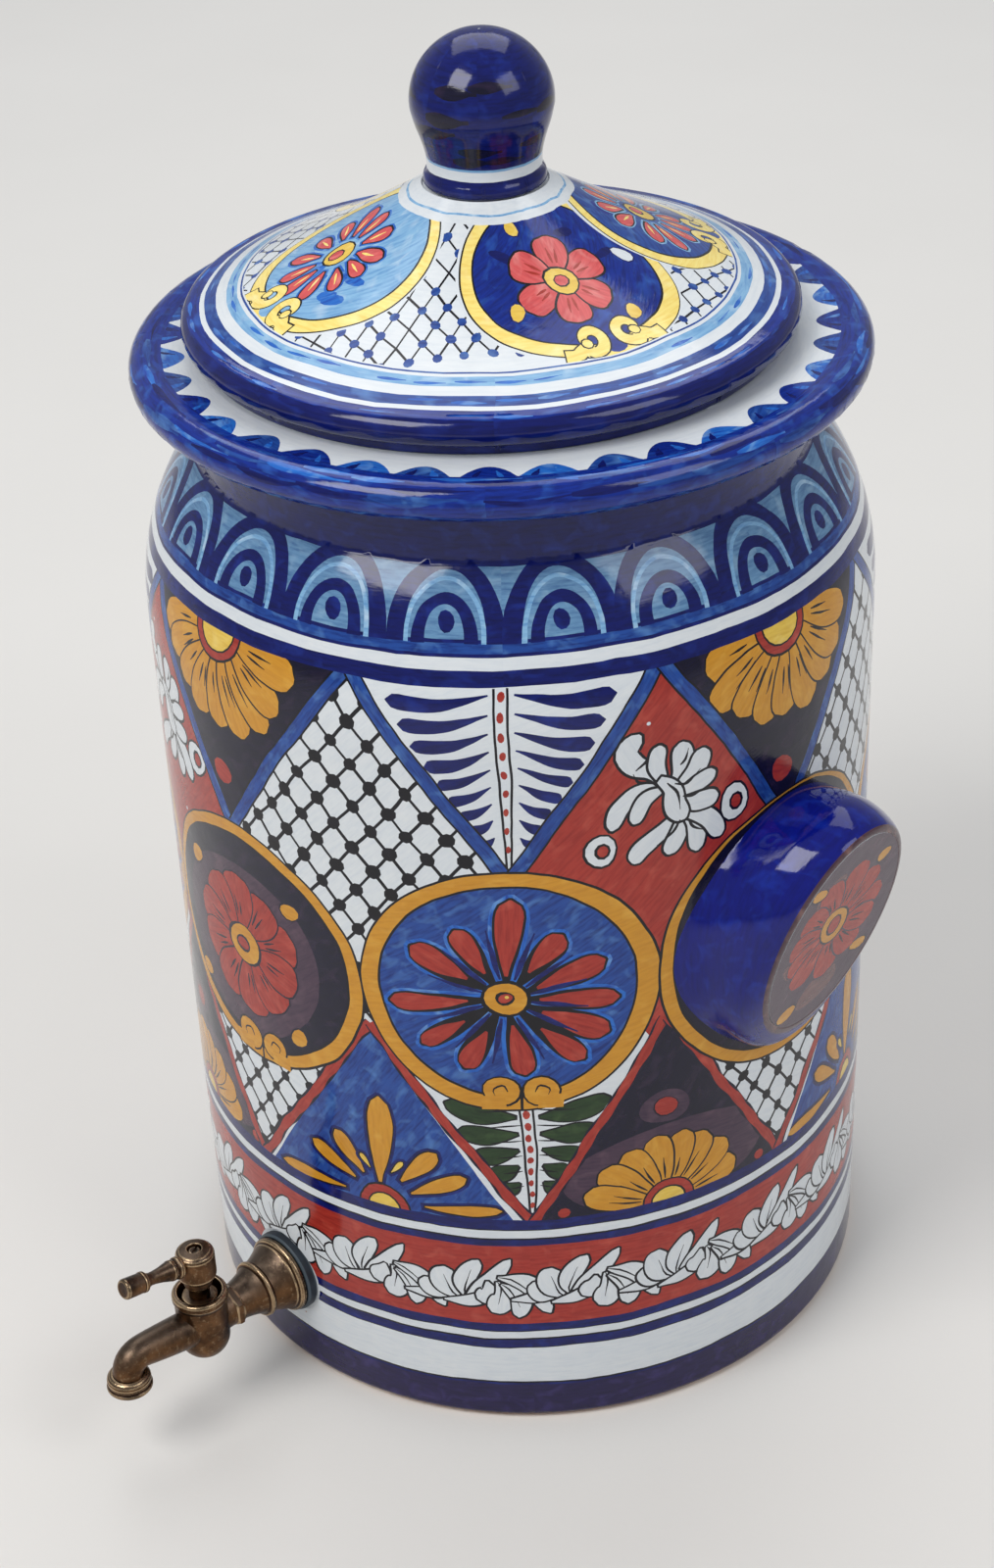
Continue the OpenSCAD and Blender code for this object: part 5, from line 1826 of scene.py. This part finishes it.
def spout_bell():
    """The bell-shaped ring on the spout's end."""
    outlet, widest = 5.2, 8.9
    # how far inside the widest radius, and height, up the outside
    steps = ((0.7, 0), (0, 0.6), (0, 1.5), (0.6, 2.1), (0.75, 2.6), (0.4, 3.1), (0.3, 4.2), (0.6, 5.4),
             (1.4, 6.3), (2.3, 6.8))
    profile = [(outlet, 3), (outlet, 0.4), (outlet + 0.3, 0), *((widest - inside, z) for inside, z in steps),
               (outlet, 6.8), (outlet, 3)]
    turned("spout_bell", "pot", "spout_outlet", BRASS, profile,
           CHAMBER @ Matrix.Translation((0, -SPOUT_OUT, -8.8)), True)


def gland():
    """The packing round the stem, and the nut above it with its round foot."""
    packing = [(4.15, 7.1), (4.15, 6.4), (4.35, 6.2), (6.3, 6.2), (6.5, 6.4), (6.5, 7.8), (6.3, 8.0),
               (4.35, 8.0), (4.15, 7.8), (4.15, 7.1)]
    turned("gland_packing_ring", "pot", "gland_packing", RUBBER, packing, CHAMBER, True)
    bore = 4.18
    foot = [(bore, 8.8), (bore, 8.0), (6.45, 8.0), (6.45, 8.8), (bore, 8.8)]
    piece = Solid()
    piece.nut(flats=6.8, z0=8.5, z1=14.5, place=CHAMBER, bore=bore, cut=(0.6, 1))
    piece.lathe(softened(foot, 0.2), CHAMBER, 48, around=True)
    dress(piece.object("gland_nut_hex", [BRASS], 30), "pot", "gland_nut")


lock_nut()
spout_bell()
gland()

RING_HEIGHTS = {"lower_o_ring": -5.5, "upper_o_ring": 4.1}


def valve_plug():
    """The plug with two grooves and a cross port, and its stem with two flats for the hub."""
    piece = Solid()
    plug_r, stem_r, across = 6.45, 3.5, 2.6
    profile = [(0, -7.4), (plug_r - 0.4, -7.4), (plug_r, -7.0)]
    for z in RING_HEIGHTS.values():
        groove = ((0, -0.95), (0.75, -0.8), (0.75, 0.8), (0, 0.95))
        profile += [(plug_r - deep, z + up) for deep, up in groove]
    profile += [(plug_r, 5.6), (plug_r - 0.4, 6), (4.1, 6), (4.1, 21.6), (3.7, 22), (stem_r, 22), (0, 22)]
    piece.lathe(softened(profile, 0.2), CHAMBER, 48)
    stem = [(x, max(-across, min(across, y))) for x, y, _ in ring_points(stem_r, 48)]
    flats = [[(x * size, y * size, z) for x, y in stem]
             for z, size in ((21.5, 1), (31.3, 1), (31.5, 0.92))]
    piece.rings([[(0, 0, 21.5)], *flats, [(0, 0, 31.5)]], CHAMBER)
    obj = piece.object("valve_plug_and_stem", [BRASS])
    crosswise = CHAMBER @ Matrix.Translation((-20, 0, 0)) @ Matrix.Rotation(math.pi / 2, 4, "Y")
    cut_away(obj, [plug(3.8, 40, crosswise)])
    dress(obj, "lever", "valve_plug")


valve_plug()
for name, z in RING_HEIGHTS.items():
    turned(name + "_rubber", "lever", name, RUBBER,
           arc(5.55, z, 0.92, [360 * j / 16 for j in range(17)]), CHAMBER, True)

HUB_R, HUB_TOP = 7.6, 37.5
ARM = CHAMBER @ Matrix.Translation((0, 0, HUB_TOP - 6.2)) @ Matrix.Rotation(math.radians(90 - 11), 4, "X")
TIP_AT = 34.5 - 10.2             # how far along the arm its tip begins
WAIST_FROM, WAIST_TO = HUB_R + 5.2, TIP_AT - 2.6


def lever_hub():
    """The hub's cap, which sits on the stem and takes the screw in its sunk top."""
    stem = 4.1
    # how far inside the widest radius, and height, up the outside
    outside = ((2.4, 20), (2, 20.5), (2, 23), (1, 24), (0.2, 24.7), (0, 25.4), (0, 30), (0, HUB_TOP - 2.6),
               (0.4, HUB_TOP - 1.5), (1.5, HUB_TOP - 0.6), (3.4, HUB_TOP - 0.15))
    profile = [(stem, 21), (stem, 20.2), (4.4, 20), *((HUB_R - inside, z) for inside, z in outside),
               (3.0, HUB_TOP), (2.75, HUB_TOP - 0.2), (2.72, HUB_TOP - 2.2), (1.4, HUB_TOP - 2.2),
               (1.4, 31.5), (stem, 31.5), (stem, 21)]
    hub = Solid()
    hub.lathe(softened(profile, 0.3), CHAMBER, 64, around=True)
    dress(hub.object("lever_hub_cap", [BRASS], 34), "lever", "lever_hub")


def lever_arm():
    """The turned arm: a collar at the hub, a waist, and a shoulder under the tip."""
    collar = ((2.3, -0.4), (4.0, -0.2), (4.4, 0.5), (4.5, 1.0), (4.45, 2.0), (3.95, 2.7), (3.85, 3.2),
              (4.15, 3.8), (4.15, 4.8), (3.9, 5.6))
    waist = ((3.55, 0.22), (3.1, 0.42), (2.75, 0.65), (2.55, 0.85))
    profile = [(0, 5.6), (2.3, 5.6), *((r, HUB_R + out) for r, out in collar),
               *((r, WAIST_FROM + part * (WAIST_TO - WAIST_FROM)) for r, part in waist), (2.5, WAIST_TO),
               (2.7, TIP_AT - 1.6), (3.1, TIP_AT - 0.7), (3.25, TIP_AT), (0, TIP_AT)]
    turned("lever_arm_turned", "lever", "lever_arm", BRASS, profile, ARM, False, 0.25, 40)


def lever_tip():
    """The cylindrical tip, with a groove round it."""
    profile = ((0, 0), (3.8, 0), (4.15, 0.4), (4.2, 1.6), (3.95, 2.0), (3.95, 2.4), (4.05, 5.6),
               (4.12, 9.3), (3.7, 10.0), (3.2, 10.2), (0, 10.05))
    turned("lever_tip_cap", "lever", "lever_tip", BRASS, [(r, TIP_AT + out) for r, out in profile],
           ARM, False, 0.3, 40)


def hub_screw():
    """The screw sunk in the hub, with its slot."""
    piece = Solid()
    piece.lathe(softened([(0, 24), (1.1, 24), (1.38, 24.4), (1.38, HUB_TOP - 2.2), (2.5, HUB_TOP - 2.2),
                          (2.68, HUB_TOP - 2.0), (2.6, HUB_TOP - 1.3), (2.0, HUB_TOP - 1.02),
                          (0, HUB_TOP - 0.98)], 0.2), CHAMBER, 32)
    obj = piece.object("hub_screw_slotted", [SCREW])
    slot = Solid()
    half_w, half_l = 0.36, 3
    corners = ((-half_w, -half_l), (half_w, -half_l), (half_w, half_l), (-half_w, half_l))
    slot.rings([[(x, y, z) for x, y in corners] for z in (HUB_TOP - 1.6, HUB_TOP)],
               CHAMBER @ Matrix.Rotation(0.5, 4, "Z"))
    cut_away(obj, [slot.object("cutter", [])])
    dress(obj, "lever", "hub_screw")


lever_hub()
lever_arm()
lever_tip()
hub_screw()

# ------------------------------------------------------------ light and floor


def pale_floor(half=8, drop_by=0.0004):
    """A wide matt floor, a hair under the pot's base."""
    mesh = bpy.data.meshes.new("floor")
    corners = ((-half, -half), (half, -half), (half, half), (-half, half))
    mesh.from_pydata([(x, y, -drop_by) for x, y in corners], [], [(0, 1, 2, 3)])
    mat, n, shader, height = shaded("pale floor", 0, 0.1, 0.0005, (0.8, 0.78, 0.74, 1))
    here = n.here()
    n.link(n.mix(n.noise(here, 6, 3), (0.75, 0.735, 0.71, 1), (0.78, 0.765, 0.74, 1)), shader["Base Color"])
    n.link(n.noise(here, 400, 2), height)
    shader["Roughness"].default_value = 0.85
    return add_object("floor", mesh, [mat])


def studio_sky():
    """A soft, slightly blue light from all round."""
    world = bpy.data.worlds.new("studio")
    bpy.context.scene.world = world
    world.use_nodes = True
    sky = world.node_tree.nodes["Background"].inputs
    sky["Color"].default_value = (0.93, 0.96, 1.0, 1)
    sky["Strength"].default_value = 0.38


make_camera()
floor = pale_floor()
studio_sky()
area_lamp("key", at=(0.0, -1.45, 1.95), aim=(0, 0, 0.22), size=(1.05, 1.05), power=28, tint=(1, 0.985, 0.96))
area_lamp("fill", at=(1.45, 0.3, 1.5), aim=(0, 0, 0.22), size=(0.9, 0.9), power=8)
area_lamp("backdrop", at=(-1.2, 1.1, 2.3), aim=(-1.1, 1.0, 0), size=(2.2, 2.2), power=28)
bpy.context.scene.view_settings.view_transform = "Standard"
